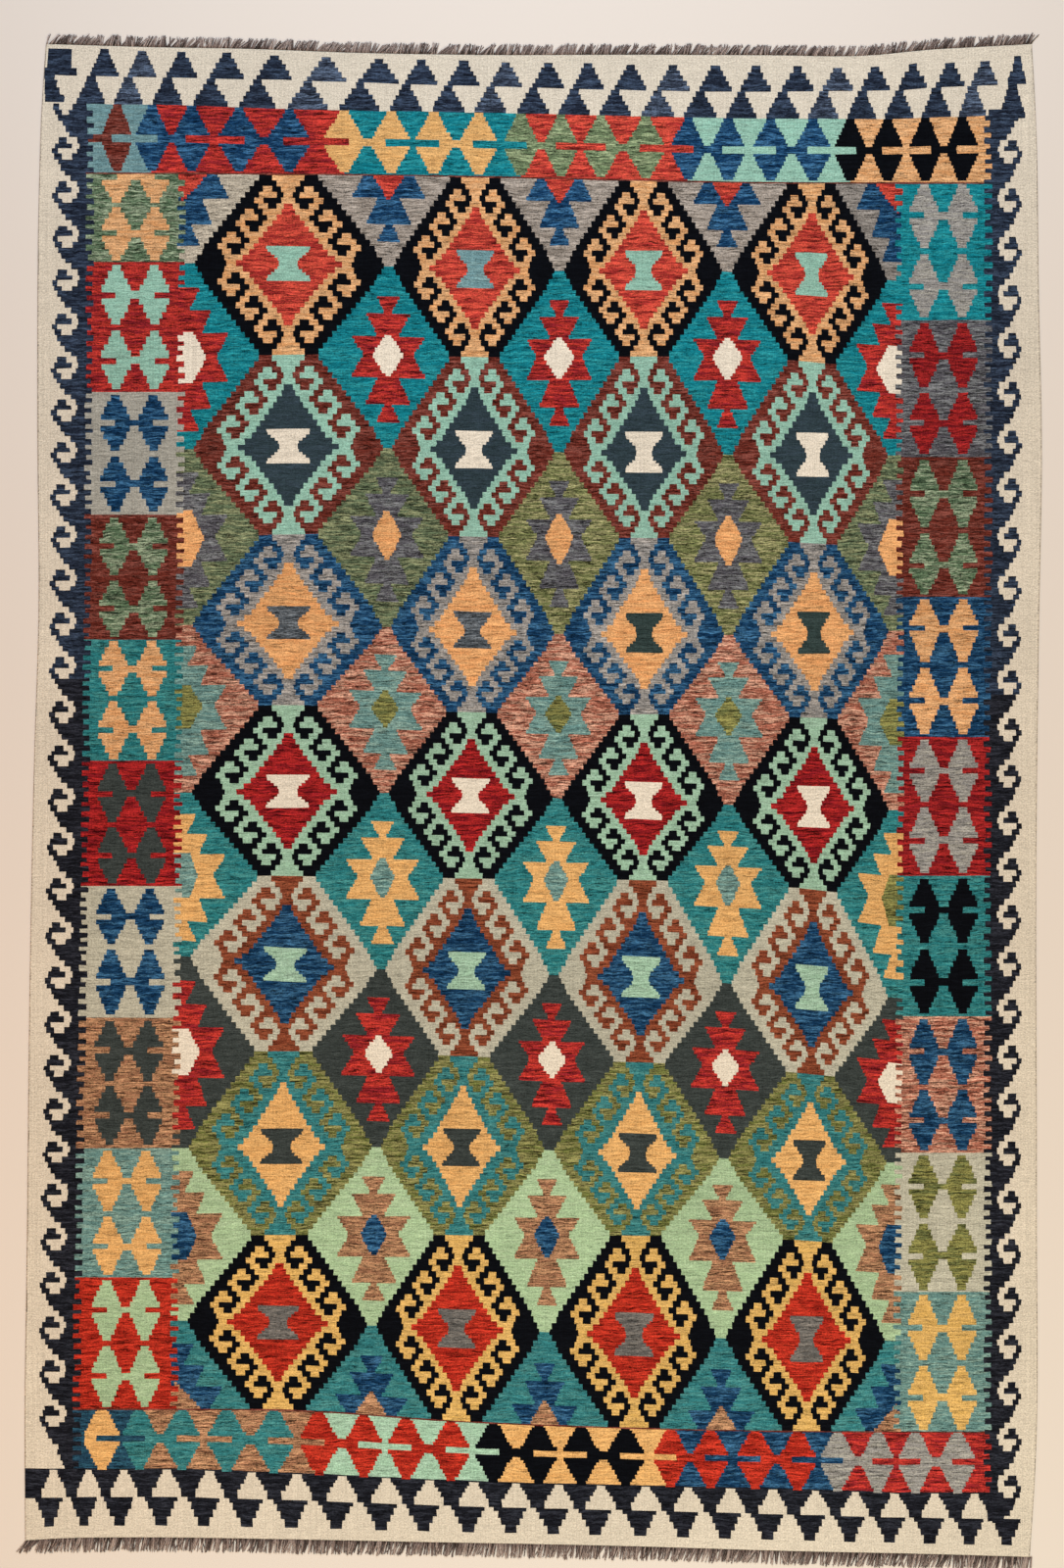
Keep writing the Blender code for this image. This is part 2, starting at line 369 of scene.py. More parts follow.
# The blocks down the two sides: the height of each block's near edge, its ground and its lozenges.
LEFT_BLOCKS_TOP = 1.310
LEFT_BLOCKS = (
    (1.075, "moss", "apricot"),
    (0.815, "red", "mint"),
    (0.570, "pebble", "cobalt"),
    (0.320, "rust", "moss"),
    (0.075, "deep_teal", "apricot"),
    (-0.175, "crimson", "charcoal"),
    (-0.440, "ash", "cobalt"),
    (-0.700, "tan", "charcoal"),
    (-0.960, "sea", "honey"),
    (-1.225, "vermilion", "celadon"),
)
RIGHT_BLOCKS_TOP = 1.240
RIGHT_BLOCKS = (
    (0.960, "turquoise", "silver"),
    (0.685, "storm", "garnet"),
    (0.405, "rust", "moss"),
    (0.125, "cobalt", "apricot"),
    (-0.155, "garnet", "silver"),
    (-0.435, "deep_teal", "black"),
    (-0.710, "salmon", "cobalt"),
    (-0.990, "ash", "olive"),
    (-1.270, "sea", "yellow"),
)
BLOCK_PAIRS = (0.25, 0.75)  # the middles of a block's two pairs, as shares of its height
BLOCK_LOZENGE_APART = 0.0385  # each lozenge's middle from the middle of its block
BLOCK_LOZENGE_SHARE = 0.230  # its half height, as a share of the block's height
BLOCK_LOZENGE = (4.2, 0.0295, 0.009)  # step in rows, half width, tip
BLOCK_BAR_ROWS = 2.4
BLOCK_SLOT_ROWS = 2
BLOCK_SLOT_PAST_MIDDLE = 0.009
BLOCK_SLOT_END = 0.035  # out from the lozenge's middle

# The hooked guards down both selvedges: one hook, row by row from its far end. Distances out from
# the guard's inner line: how far the solid body reaches, then from where to where the hook's own
# stretch runs, if the row has one.
GUARD_HOOK = (
    (0.026, 0.046, 0.064),
    (0.022, 0.036, 0.070),
    (0.026, 0.064, 0.076),
    (0.036, 0.056, 0.072),
    (0.064,),
    (0.058,),
    (0.050,),
    (0.038,),
)
LEFT_GUARD_START = (
    (0.034, 0.062, 0.074),
    (0.042, 0.056, 0.070),
    (0.064,),
    (0.056,),
    (0.050,),
    (0.042,),
)
RIGHT_GUARD_START = ((0.076,), (0.068,), (0.060,), (0.052,), (0.044,))
LEFT_GUARD_END = ((0.040,), (0.034,), (0.030,), (0.026,))
HOOK_SCALES = (1.0, 0.89)  # the left guard's and the right one's
HOOK_LOT_ROWS = 4  # a guard's yarn changes lot after so many rows
NAVY_DOWN_TO = 0.25  # the height at which the guards' navy turns darker
LEFT_HOOKS = (
    # hook, counted from the far end, and the height of its far edge
    (0, 1.325),
    (5, 0.885),
    (10, 0.460),
    (15, 0.020),
    (20, -0.425),
    (25, -0.860),
    (29, -1.215),
)
RIGHT_HOOKS = (
    (0, 1.320),
    (5, 0.835),
    (10, 0.350),
    (15, -0.120),
    (20, -0.590),
    (24, -0.980),
    (28, -1.355),
)

# The teeth along both ends. The yarns of the far ones are taken in turn. Both halves of a far tooth
# are stepped wedges, and the lower one lies to the left of the upper one.
FAR_TOOTH_YARNS = ("navy", "dusk", "navy", "navy")
FAR_TOOTH_TOPS = (2.5, 8.0)  # the row at which the leftmost tooth begins and the rightmost one
FAR_TOOTH_TIP = 0.009  # half width of the top step
FAR_TOOTH_SHARE = 0.38  # half width of the bottom step, as a share of the pitch
FAR_TOOTH_SHIFT = 0.36  # of the lower half, as a share of the pitch
FAR_TOOTH_STEPS = (3.3, 3.8)  # rows for each step of the upper half and of the lower one
FAR_TEETH = (
    # the middle of each tooth across
    -0.860, -0.785, -0.705, -0.615, -0.520, -0.415, -0.310, -0.225, -0.140, -0.055, 0.030, 0.110,
    0.195, 0.280, 0.365, 0.445, 0.530, 0.610, 0.685, 0.760, 0.835, 0.905, 0.970,
)
NEAR_TEETH = (
    # the middle of each tooth across
    -0.970, -0.900, -0.830, -0.745, -0.660, -0.575, -0.485, -0.395, -0.305, -0.220, -0.130, -0.045,
    0.040, 0.125, 0.215, 0.300, 0.385, 0.470, 0.555, 0.635, 0.715, 0.795, 0.875, 0.950,
)
NEAR_TOOTH_CREAM = (
    # rows from, to; sides, in shares of the distance between two teeth from the tooth's middle
    (1, 4, 0.02, 0.22),
    (4, 6, -0.02, 0.26),
    (6, 9, -0.07, 0.32),
    (9, 13, -0.14, 0.39),
    (13, 19, -0.22, 0.46),
)
NEAR_TOOTH_DARK = (
    (19, 22, -0.40, 0.36),
    (22, 27, -0.32, 0.29),
    (27, 32, -0.24, 0.21),
    (32, 38, -0.15, 0.13),
)
NEAR_TEETH_BODY_ROWS = 19
NEAR_LOT_END = 0.02  # a lot of the near teeth's yarn ends so far right of a tooth's middle

FIRST_FAR_TOOTH = (
    # rows, sides across: the tooth that the left selvedge cuts through
    ((3, 16), (-0.975, -0.925)),
    ((16, 21), (-0.980, -0.915)),
    ((21, 24), (-0.980, -0.960)),
    ((24, 29), (-0.980, -0.955)),
    ((29, 34), (-0.980, -0.950)),
    ((34, 39), (-0.980, -0.940)),
)
LAST_FAR_TOOTH = (
    # rows, shift across, half widths, step in rows
    ((6, FAR_TEETH_ROW), 0.0, (0.007, 0.018), 4.0),
    ((FAR_TEETH_ROW, FAR_BORDER_ROW + 2), -0.010, (0.009, 0.026), 3.8),
)

# Where two areas interlock: the rows and columns of one tooth of the comb between them, by chance.
COMB_ROWS = (3, 3, 4, 4)
COMB_REACHES = (2, 3, 3, 4, 4)
COMB_COLUMNS = 6  # beyond the reach of any tooth
SELVEDGE_COLUMNS = 1  # the outermost warps, darkened as painted shade along the rounded selvedge


def smooth_between(table, at):
    """The values of a two-column table at some places, on a curve through all its rows."""
    places, values = np.array(table).T
    slopes = np.gradient(values, places)
    k = np.clip(np.searchsorted(places, at) - 1, 0, len(places) - 2)
    width = places[k + 1] - places[k]
    t = (at - places[k]) / width
    start = (1 + 2 * t) * (1 - t) ** 2 * values[k] + t * (1 - t) ** 2 * width * slopes[k]
    end = t * t * (3 - 2 * t) * values[k + 1] + t * t * (t - 1) * width * slopes[k + 1]
    return start + end


def corner(side, end):
    """A corner of the cloth: side 0 is left and 1 right, end 0 is near and 1 far."""
    height = FAR_CORNER_Y
    if end == 0:
        height -= (CLOTH_LENGTH_LEFT, CLOTH_LENGTH_RIGHT)[side]
    selvedge = (LEFT_SELVEDGE, RIGHT_SELVEDGE)[side]
    return float(smooth_between(selvedge, height)), height


def end_height(end, across):
    """The height of the cloth's near or far edge at places across."""
    (left, left_y), (right, right_y) = corner(0, end), corner(1, end)
    share = np.clip((across - left) / (right - left), 0.0, 1.0)
    return left_y + (right_y - left_y) * share + smooth_between((NEAR_END, FAR_END)[end], share)


def rise_at(across, along):
    """How far the underside of the cloth lies above the floor."""
    total = np.zeros_like(across)
    for x, y, half_width, half_length, rise in RISES:
        spread = ((across - x) / half_width) ** 2
        total += rise * np.exp(-spread - ((along - y) / half_length) ** 2)
    return np.maximum(0.0, total - RISE_FLOOR)


def frame_shift():
    """From the rug's own middle, which the tables use, to the frame's origin."""
    low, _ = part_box("kilim")
    heights = np.linspace(corner(0, 0)[1], FAR_CORNER_Y, SELVEDGE_SAMPLES)
    left = smooth_between(LEFT_SELVEDGE, heights).min()
    near = min(corner(0, 0)[1], corner(1, 0)[1])
    return low[0] - left, low[1] - near


def about(middle, half):
    """The two places at the same distance from a middle."""
    return middle - half, middle + half


class Loom:
    """The chart on its loom: which lot of yarn lies in each cell, and where each cell lies."""

    SAMPLES = 801  # places at which each line is known
    ROUNDS = 6  # of looking up the lines for a corner's place

    def __init__(self):
        self.chart = np.zeros((ROWS, COLUMNS), np.int32)
        self.lots = []
        self.across = np.linspace(-BEYOND, BEYOND, self.SAMPLES)
        self.along = np.linspace(-BEYOND_ENDS, BEYOND_ENDS, self.SAMPLES)
        inside = np.clip(self.across, STATIONS[0], STATIONS[-1])
        lift = end_height(1, self.across) - end_height(1, inside)
        heights = []
        for row, line in zip(WEFT_ROWS, WEFT_LINES):
            share = max(0.0, 1 - row / FIELD_ROW)
            heights.append(smooth_between(tuple(zip(STATIONS, line)), inside) + lift * share)
        self.heights = np.array([end_height(1, self.across), *heights, end_height(0, self.across)])
        self.line_rows = np.array([0, *WEFT_ROWS, ROWS], float)
        inside = np.clip(self.along, HEIGHTS[0], HEIGHTS[-1])
        places = [smooth_between(tuple(zip(HEIGHTS, line)), inside) for _, line in WARP_LINES]
        left = smooth_between(LEFT_SELVEDGE, self.along)
        right = smooth_between(RIGHT_SELVEDGE, self.along)
        self.places = np.array([left, *places, right])
        self.line_columns = np.array([0, *[column for column, _ in WARP_LINES], COLUMNS], float)

    @staticmethod
    def sample(lines, start, stop, at):
        """Each line's value at one place, between evenly spaced samples."""
        position = (at - start) / (stop - start) * (lines.shape[1] - 1)
        k = np.clip(np.floor(position).astype(int), 0, lines.shape[1] - 2)
        return lines[:, k] * (1 - (position - k)) + lines[:, k + 1] * (position - k)

    def heights_at(self, across):
        """The height of every weft line at each place across."""
        return self.sample(self.heights, -BEYOND, BEYOND, across)

    def places_at(self, along):
        """Where every warp line lies across, at each height."""
        return self.sample(self.places, -BEYOND_ENDS, BEYOND_ENDS, along)

    def row(self, across, along):
        """The chart row, with its fraction, at a place on the rug."""
        return float(np.interp(-along, -self.heights_at(across), self.line_rows))

    def column(self, across, along):
        """The chart column, with its fraction, at a place on the rug."""
        return float(np.interp(across, self.places_at(along), self.line_columns))

    def place(self, rows, columns):
        """Where cells' corners lie on the rug: places across and along."""
        rows, columns = np.asarray(rows, float), np.asarray(columns, float)
        k = np.clip(np.searchsorted(self.line_rows, rows) - 1, 0, len(self.line_rows) - 2)
        row_share = (rows - self.line_rows[k]) / (self.line_rows[k + 1] - self.line_rows[k])
        m = np.clip(np.searchsorted(self.line_columns, columns) - 1, 0, len(self.line_columns) - 2)
        column_share = columns - self.line_columns[m]
        column_share /= self.line_columns[m + 1] - self.line_columns[m]
        across = np.interp(columns, (0, COLUMNS), (-1.0, 1.0))
        points = np.arange(rows.size)
        for _ in range(self.ROUNDS):
            heights = self.heights_at(across)
            along = heights[k, points] * (1 - row_share) + heights[k + 1, points] * row_share
            places = self.places_at(along)
            across = places[m, points] * (1 - column_share) + places[m + 1, points] * column_share
        return across, along

    def along_at(self, row, across):
        """The height of a chart row at a place across."""
        return float(np.interp(row, self.line_rows, self.heights_at(across)))

    def lot(self, dye):
        """A new lot of yarn of that dye."""
        self.lots.append(dye)
        return len(self.lots) - 1

    def weave(self, lot, rows, columns):
        """Weaves one lot over a stretch of rows and columns, each given from either end."""
        top, bottom = sorted(min(max(int(round(r)), 0), ROWS) for r in rows)
        left, right = sorted(min(max(int(round(c)), 0), COLUMNS) for c in columns)
        self.chart[top:bottom, left:right] = lot

    def span(self, lot, rows, sides, within=(0, COLUMNS)):
        """Weaves one lot over some rows, between two places across, inside a range of columns."""
        along = self.along_at(sum(rows) / 2, sum(sides) / 2)
        columns = [min(max(self.column(side, along), within[0]), within[1]) for side in sides]
        self.weave(lot, rows, columns)

    def wedge(self, lot, middle, rows, halves, step, within=(0, COLUMNS)):
        """Weaves a stepped wedge about a place across, between two rows. halves are its half
        widths there."""
        count = max(1, round(abs(rows[1] - rows[0]) / step))
        for k in range(count):
            ends = [rows[0] + (rows[1] - rows[0]) * j / count for j in (k, k + 1)]
            half = halves[0] + (halves[1] - halves[0]) * k / max(1, count - 1)
            self.span(lot, ends, about(middle, half), within)


def weave_teeth(loom):
    """The steps of navy on cream along both ends."""
    lot = loom.lot("navy")
    for rows, sides in FIRST_FAR_TOOTH:
        loom.span(lot, rows, sides)
    last = len(FAR_TEETH) - 1
    for k, middle in enumerate(FAR_TEETH):
        lot = loom.lot(FAR_TOOTH_YARNS[k % len(FAR_TOOTH_YARNS)])
        if k == last:
            for rows, shift, halves, step in LAST_FAR_TOOTH:
                loom.wedge(lot, middle + shift, rows, halves, step)
            continue
        pitch = FAR_TEETH[max(k, 1)] - FAR_TEETH[max(k, 1) - 1]
        halves = FAR_TOOTH_TIP, FAR_TOOTH_SHARE * pitch
        top = float(np.interp(k, (0, last), FAR_TOOTH_TOPS))
        loom.wedge(lot, middle, (top, FAR_TEETH_ROW), halves, FAR_TOOTH_STEPS[0])
        rows = FAR_TEETH_ROW, FAR_BORDER_ROW
        loom.wedge(lot, middle - FAR_TOOTH_SHIFT * pitch, rows, halves, FAR_TOOTH_STEPS[1])
    ends = [middle + NEAR_LOT_END for middle in NEAR_TEETH[:-1]]
    edges = [-BEYOND, *ends, WARP_LINES[-1][1][0]]
    rows = NEAR_TEETH_ROW, NEAR_TEETH_ROW + NEAR_TEETH_BODY_ROWS
    for sides in zip(edges, edges[1:]):
        loom.span(loom.lot("ink"), rows, sides)
    cream = loom.lot("cream")
    for middle, pitch in zip(NEAR_TEETH, np.gradient(NEAR_TEETH)):
        lot = loom.lot("ink")
        parts = [(lot, *part) for part in NEAR_TOOTH_DARK]
        if middle != NEAR_TEETH[-1]:
            parts = [(cream, *part) for part in NEAR_TOOTH_CREAM] + parts
        for yarn, start, stop, left, right in parts:
            rows = NEAR_TEETH_ROW + start, NEAR_TEETH_ROW + stop
            loom.span(yarn, rows, (middle + left * pitch, middle + right * pitch))


def weave_hook(loom, side, top, step, shape, scale):
    """Some rows of a guard, from the height of the first one's far edge."""
    for j, (body, *hook) in enumerate(shape):
        at = top - j * step
        line = loom.places_at(at)[1 if side < 0 else -2]
        rows = loom.row(line, at), loom.row(line, at - step)
        if j % HOOK_LOT_ROWS == 0:
            lot = loom.lot("navy" if at > NAVY_DOWN_TO else "ink")
        loom.span(lot, rows, (line, line + side * body * scale))
        if hook:
            loom.span(lot, rows, [line + side * end * scale for end in hook])


def weave_guards(loom):
    """The running hooks of navy on cream down both selvedges."""
    for side, hooks, scale in zip((-1, 1), (LEFT_HOOKS, RIGHT_HOOKS), HOOK_SCALES):
        counts, heights = zip(*hooks)
        tops = np.interp(range(counts[-1] + 1), counts, heights).tolist()
        steps = [(a - b) / len(GUARD_HOOK) for a, b in zip(tops, tops[1:])]
        steps.append(steps[-1])
        start = LEFT_GUARD_START if side < 0 else RIGHT_GUARD_START
        weave_hook(loom, side, tops[0] + len(start) * steps[0], steps[0], start, scale)
        for top, step in zip(tops, steps):
            weave_hook(loom, side, top, step, GUARD_HOOK, scale)
        if side < 0:
            top = tops[-1] - len(GUARD_HOOK) * steps[-1]
            weave_hook(loom, side, top, steps[-1], LEFT_GUARD_END, scale)


def weave_lozenge(loom, lot, middle, row, shape, within):
    """A stepped lozenge about a middle row. shape is its half height and step in rows, its half
    width and the half width of its tips."""
    half_rows, step, half_width, tip = shape
    loom.span(lot, about(row, LOZENGE_WAIST_ROWS), about(middle, half_width), within)
    for way in (-1, 1):
        rows = row + way * LOZENGE_WAIST_ROWS, row + way * half_rows
        loom.wedge(lot, middle, rows, (half_width, tip), step, within)


def weave_border(loom, blocks, start, rows):
    """One border of lozenges across the rug, joined in pairs, with the ground running between."""
    row = sum(rows) / 2
    within = (LEFT_COLUMN, RIGHT_COLUMN)
    bar_rows, slot_rows = about(row, BORDER_BAR_ROWS), about(row, BORDER_SLOT_ROWS)
    half_rows, step, share, tip = BORDER_LOZENGE
    ground_dye, dye, middle, half_width, bar = start
    ground, lot = loom.lot(ground_dye), loom.lot(dye)
    loom.weave(ground, rows, within)
    weave_lozenge(loom, lot, middle, row, (half_rows, step, half_width, tip), within)
    loom.span(lot, bar_rows, (middle - bar, middle), within)
    starts = [middles[0] for _, _, middles in blocks] + [BEYOND]
    slots = [(ground, middle, starts[0])]
    for (ground_dye, dye, middles), after in zip(blocks, starts[1:]):
        ground, lot = loom.lot(ground_dye), loom.lot(dye)
        loom.span(ground, rows, (middles[0], BEYOND), within)
        pitches = np.gradient(middles)
        for middle, pitch in zip(middles, pitches):
            shape = half_rows, step, share * pitch, tip
            weave_lozenge(loom, lot, middle, row, shape, within)
        for pair in (middles[:2], middles[2:]):
            loom.span(lot, bar_rows, pair, within)
        slots.append((ground, middles[1], middles[2]))
        slots.append((ground, middles[3], after))
    for ground, left, right in slots:
        sides = left - SLOT_PAST_MIDDLE, right + SLOT_PAST_MIDDLE
        loom.span(ground, slot_rows, sides, within)


def weave_blocks(loom, blocks, top, within, side):
    """The blocks down one side: two pairs of joined lozenges in each."""
    guides = (1, 2) if side < 0 else (-3, -2)  # the warp lines on both sides of the blocks
    for bottom, ground_dye, dye in blocks:
        ground = loom.lot(ground_dye)
        centre = float(np.mean(loom.places_at((top + bottom) / 2)[list(guides)]))
        rows = loom.row(centre, top), loom.row(centre, bottom)
        first = max(rows[0], FIELD_ROW)
        loom.weave(ground, (first, min(rows[1], NEAR_BORDER_ROW)), within)
        for share in BLOCK_PAIRS:
            lot = loom.lot(dye)
            row = rows[0] + (rows[1] - rows[0]) * share
            shape = ((rows[1] - rows[0]) * BLOCK_LOZENGE_SHARE, *BLOCK_LOZENGE)
            far_border = loom.chart[:FIELD_ROW].copy()
            for way in (-1, 1):
                middle = centre + way * BLOCK_LOZENGE_APART
                weave_lozenge(loom, lot, middle, row, shape, within)
                ends = middle - way * BLOCK_SLOT_PAST_MIDDLE, middle + way * BLOCK_SLOT_END
                loom.span(ground, about(row, BLOCK_SLOT_ROWS), ends, within)
            ends = about(centre, BLOCK_LOZENGE_APART)
            loom.span(lot, about(row, BLOCK_BAR_ROWS), ends, within)
            loom.chart[:FIELD_ROW] = far_border
        top = bottom


def scaled_middle(k, shape, scale):
    """The lozenge in the middle of a star of row k: its half height, half width and tip."""
    half_rows, half_width, tip = shape
    return half_rows * MIDDLE_HEIGHTS[k], half_width * MIDDLE_WIDTHS[k] * scale, tip * scale


def weave_star(loom, row, column, dyes, wedges, scale, lozenge, within):
    """One star of stepped wedges, the widest in its middle, with a lozenge on top of them."""
    middle = float(loom.place([row], [column])[0][0])
    lot = loom.lot(dyes[0])
    for way, share in zip((-1, 1), STAR_HALVES):
        for start, stop, inner, outer in wedges:
            rows = row + way * start * share, row + way * stop * share
            loom.wedge(lot, middle, rows, (inner * scale, outer * scale), WEDGE_STEP_ROWS, within)
    half_rows, half_width, tip = lozenge
    lot = loom.lot(dyes[1])
    if row in (FIELD_ROW, NEAR_BORDER_ROW):
        way = 1 if row == FIELD_ROW else -1
        rows = row, row + way * (half_rows + HALF_MIDDLE_MORE_ROWS)
        loom.wedge(lot, middle, rows, (half_width, HALF_MIDDLE_TIP), WEDGE_STEP_ROWS, within)
        return
    for way in (-1, 1):
        rows = row, row + way * half_rows
        loom.wedge(lot, middle, rows, (half_width, tip), WEDGE_STEP_ROWS, within)


def weave_stars(loom):
    """The ground between the medallions, with a star in each gap and half a star at both edges."""
    field = (FIELD_LEFT, FIELD_RIGHT)
    edges = (FIELD_LEFT, *MEDALLION_MIDDLES, FIELD_RIGHT)
    for k, (ground, _, _) in enumerate(STAR_ROWS):
        row = FIELD_ROW + 2 * HALF_MEDALLION_ROWS * k
        rows = np.clip(about(row, HALF_MEDALLION_ROWS), FIELD_ROW, NEAR_BORDER_ROW)
        for m, columns in enumerate(zip(edges, edges[1:])):
            loom.weave(loom.lot(OTHER_GROUNDS.get((k, m), ground)), rows, columns)
    keep = loom.chart.copy()
    for k, (_, star, heart) in enumerate(STAR_ROWS):
        row = FIELD_ROW + 2 * HALF_MEDALLION_ROWS * k
        lozenge = scaled_middle(k, STAR_MIDDLE, 1.0)
        for gap, scale in zip(MEDALLION_GAPS, GAP_SCALES):
            weave_star(loom, row, gap, (star, heart), STAR_WEDGES, scale, lozenge, field)
        yarns = heart, RIGHT_EDGE_MIDDLES.get(k, heart)
        for edge, scale, yarn in zip(field, (1.0, RIGHT_EDGE_SCALE), yarns):
            lozenge = scaled_middle(k, EDGE_STAR_MIDDLE, scale)
            weave_star(loom, row, edge, (star, yarn), EDGE_STAR_WEDGES, scale, lozenge, field)
    loom.chart[:FIELD_ROW] = keep[:FIELD_ROW]
    loom.chart[NEAR_BORDER_ROW:] = keep[NEAR_BORDER_ROW:]


def weave_medallion(loom, row, column, dyes, scales, inner_width):
    """One hooked medallion about its middle row and column, with an hourglass in its middle."""
    lots = dict(zip("OFI", (loom.lot(dye) for dye in dyes[:3])))
    for k, reaches in enumerate(MEDALLION_CHART):
        for way in (-1, 1):
            ends = row + way * (k - 0.5) * ROWS_PER_CELL, row + way * (k + 0.5) * ROWS_PER_CELL
            for yarn, reach in reaches:
                half = reach * COLUMNS_PER_CELL * (inner_width if yarn == "I" else 1.0)
                loom.weave(lots[yarn], ends, about(column, half))
    lot = loom.lot(dyes[3])
    step = MIDDLE_STEP_ROWS * scales[1]
    for k, cells in enumerate(MIDDLE_STEPS):
        half = cells * COLUMNS_PER_CELL * scales[0]
        for way in (-1, 1):
            rows = row + way * k * step, row + way * (k + 1) * step
            loom.weave(lot, rows, about(column, half))


def weave_medallions(loom):
    """The rows of medallions over the field."""
    for k, dyes in enumerate(MEDALLION_ROWS):
        row = FIELD_ROW + HALF_MEDALLION_ROWS * (2 * k + 1)
        for m, column in enumerate(MEDALLION_MIDDLES):
            middle = OTHER_MIDDLES.get((k, m), dyes[3])
            yarns = (*dyes[:3], middle)
            weave_medallion(loom, row, column, yarns, MIDDLE_SCALES[m], INNER_WIDTHS[k])


def weave_comb(loom, column, first, last, seed):
    """Interlocks the areas on both sides of a line of the chart, tooth by tooth."""
    rng = random.Random(seed)
    start, right_over = first, True
    while start < last:
        stop = min(last, start + rng.choice(COMB_ROWS))
        part, reach = slice(start, stop), rng.choice(COMB_REACHES)
        if right_over:
            beyond = loom.chart[part, column + COMB_COLUMNS].copy()
            loom.chart[part, column - reach : column] = beyond[:, None]
        else:
            beyond = loom.chart[part, column - COMB_COLUMNS - 1].copy()
            loom.chart[part, column : column + reach] = beyond[:, None]
        start, right_over = stop, not right_over


def weave_chart():
    """The whole chart, motif by motif."""
    loom = Loom()
    loom.lot("cream")
    # The outermost warp on each side gets the darker cream, painted shade along the rounded
    # selvedges.
    for columns in ((0, SELVEDGE_COLUMNS), (COLUMNS - SELVEDGE_COLUMNS, COLUMNS)):
        loom.weave(loom.lot("worn"), (0, ROWS), columns)
    weave_teeth(loom)
    weave_guards(loom)
    weave_border(loom, FAR_BORDER, FAR_BORDER_START, (FAR_BORDER_ROW, FIELD_ROW - 1))
    weave_border(loom, NEAR_BORDER, NEAR_BORDER_START, (NEAR_BORDER_ROW, NEAR_TEETH_ROW))
    weave_blocks(loom, LEFT_BLOCKS, LEFT_BLOCKS_TOP, (LEFT_COLUMN, FIELD_LEFT), -1)
    weave_blocks(loom, RIGHT_BLOCKS, RIGHT_BLOCKS_TOP, (FIELD_RIGHT, RIGHT_COLUMN), 1)
    weave_stars(loom)
    weave_medallions(loom)
    line = loom.lot("rust")
    loom.weave(line, (FIELD_ROW - 1, FIELD_ROW), (LEFT_COLUMN, RIGHT_COLUMN))
    loom.weave(line, (NEAR_BORDER_ROW, NEAR_BORDER_ROW + 1), (LEFT_COLUMN, RIGHT_COLUMN))
    for column in (LEFT_COLUMN, RIGHT_COLUMN):
        weave_comb(loom, column, FAR_BORDER_ROW, NEAR_TEETH_ROW, seed=column)
    for column in (FIELD_LEFT, FIELD_RIGHT):
        weave_comb(loom, column, FIELD_ROW, NEAR_BORDER_ROW, seed=column)
    return loom


# ---------------------------------------------------------------------------------------------
# From the chart to cloth: rectangles of one lot each, cut where they grow too long.

PATCH_CELLS = 26
UNDERSIDE_PATCH_CELLS = 8
UNDERSIDE_FACTOR = 4  # the underside's chart has one cell for so many rows and columns
LONG_RUN = 1.3  # a run is cut when it is so many times longer than a patch
SHORTEST_CUT = 3  # cells
RIM_RINGS = (
    # how far inside the outline, share of the thickness
    (0.0013, 1.0),
    (0.0003, 0.74),
    (0.0003, 0.26),
    (0.0013, 0.0),
)
RIM_OUT = (0.0, 0.5, 0.9, 0.0)  # how far out in its margin each ring lies in the texture layout
UV_MARGIN = 0.004
UNEVEN_ACROSS = 0.0006
UNEVEN_ALONG = 0.00035
UNEVEN_SEED = 7


def chart_patches(chart, most):
    """Rectangles of one lot each, which together cover the chart: rows, columns and lot."""
    patches, open_runs = [], {}
    for r in range(chart.shape[0] + 1):
        runs = set()
        if r < chart.shape[0]:
            line = chart[r].tolist()
            edges = (np.flatnonzero(np.diff(line)) + 1).tolist()
            for c0, c1 in zip([0, *edges], [*edges, len(line)]):
                cuts = [c0, c1]
                if c1 - c0 > most * LONG_RUN:
                    low, high = c0 + SHORTEST_CUT, c1 - SHORTEST_CUT
                    cuts = [c0, *[c for c in range(0, len(line), most) if low < c < high], c1]
                runs.update((a, b, line[c0]) for a, b in zip(cuts, cuts[1:]))
        for run in [run for run in open_runs if run not in runs or r % most == 0]:
            start = open_runs.pop(run)
            patches.append((start, r, *run))
        for run in runs:
            open_runs.setdefault(run, r)
    return patches


def patch_outlines(patches, corners):
    """Each patch's corners and the corners of its neighbours that lie on its sides, in order."""
    in_row, in_column = {}, {}
    for r, c in corners:
        in_row.setdefault(r, []).append(c)
        in_column.setdefault(c, []).append(r)
    for line in (*in_row.values(), *in_column.values()):
        line.sort()

    def between(line, low, high):
        return line[bisect.bisect_left(line, low) : bisect.bisect_right(line, high)]

    outlines = []
    for r0, r1, c0, c1, _ in patches:
        near = [(r1, c) for c in between(in_row[r1], c0, c1)]
        right = [(r, c1) for r in between(in_column[c1], r0, r1)][::-1]
        far = [(r0, c) for c in between(in_row[r0], c0, c1)][::-1]
        left = [(r, c0) for r in between(in_column[c0], r0, r1)]
        outlines.append(near[:-1] + right[:-1] + far[:-1] + left[:-1])
    return outlines


def scaled_patches(patches, factor):
    """The patches of a coarser chart in the rows and columns of the full one."""
    return [
        (r0 * factor, min(r1 * factor, ROWS), c0 * factor, min(c1 * factor, COLUMNS), lot)
        for r0, r1, c0, c1, lot in patches
    ]


def corners_of(patches):
    """The cells' corners at which some patch has a corner."""
    return {(r, c) for r0, r1, c0, c1, _ in patches for r in (r0, r1) for c in (c0, c1)}


def on_rim(corners):
    """Those corners that lie on the chart's rim."""
    return {(r, c) for r, c in corners if r in (0, ROWS) or c in (0, COLUMNS)}


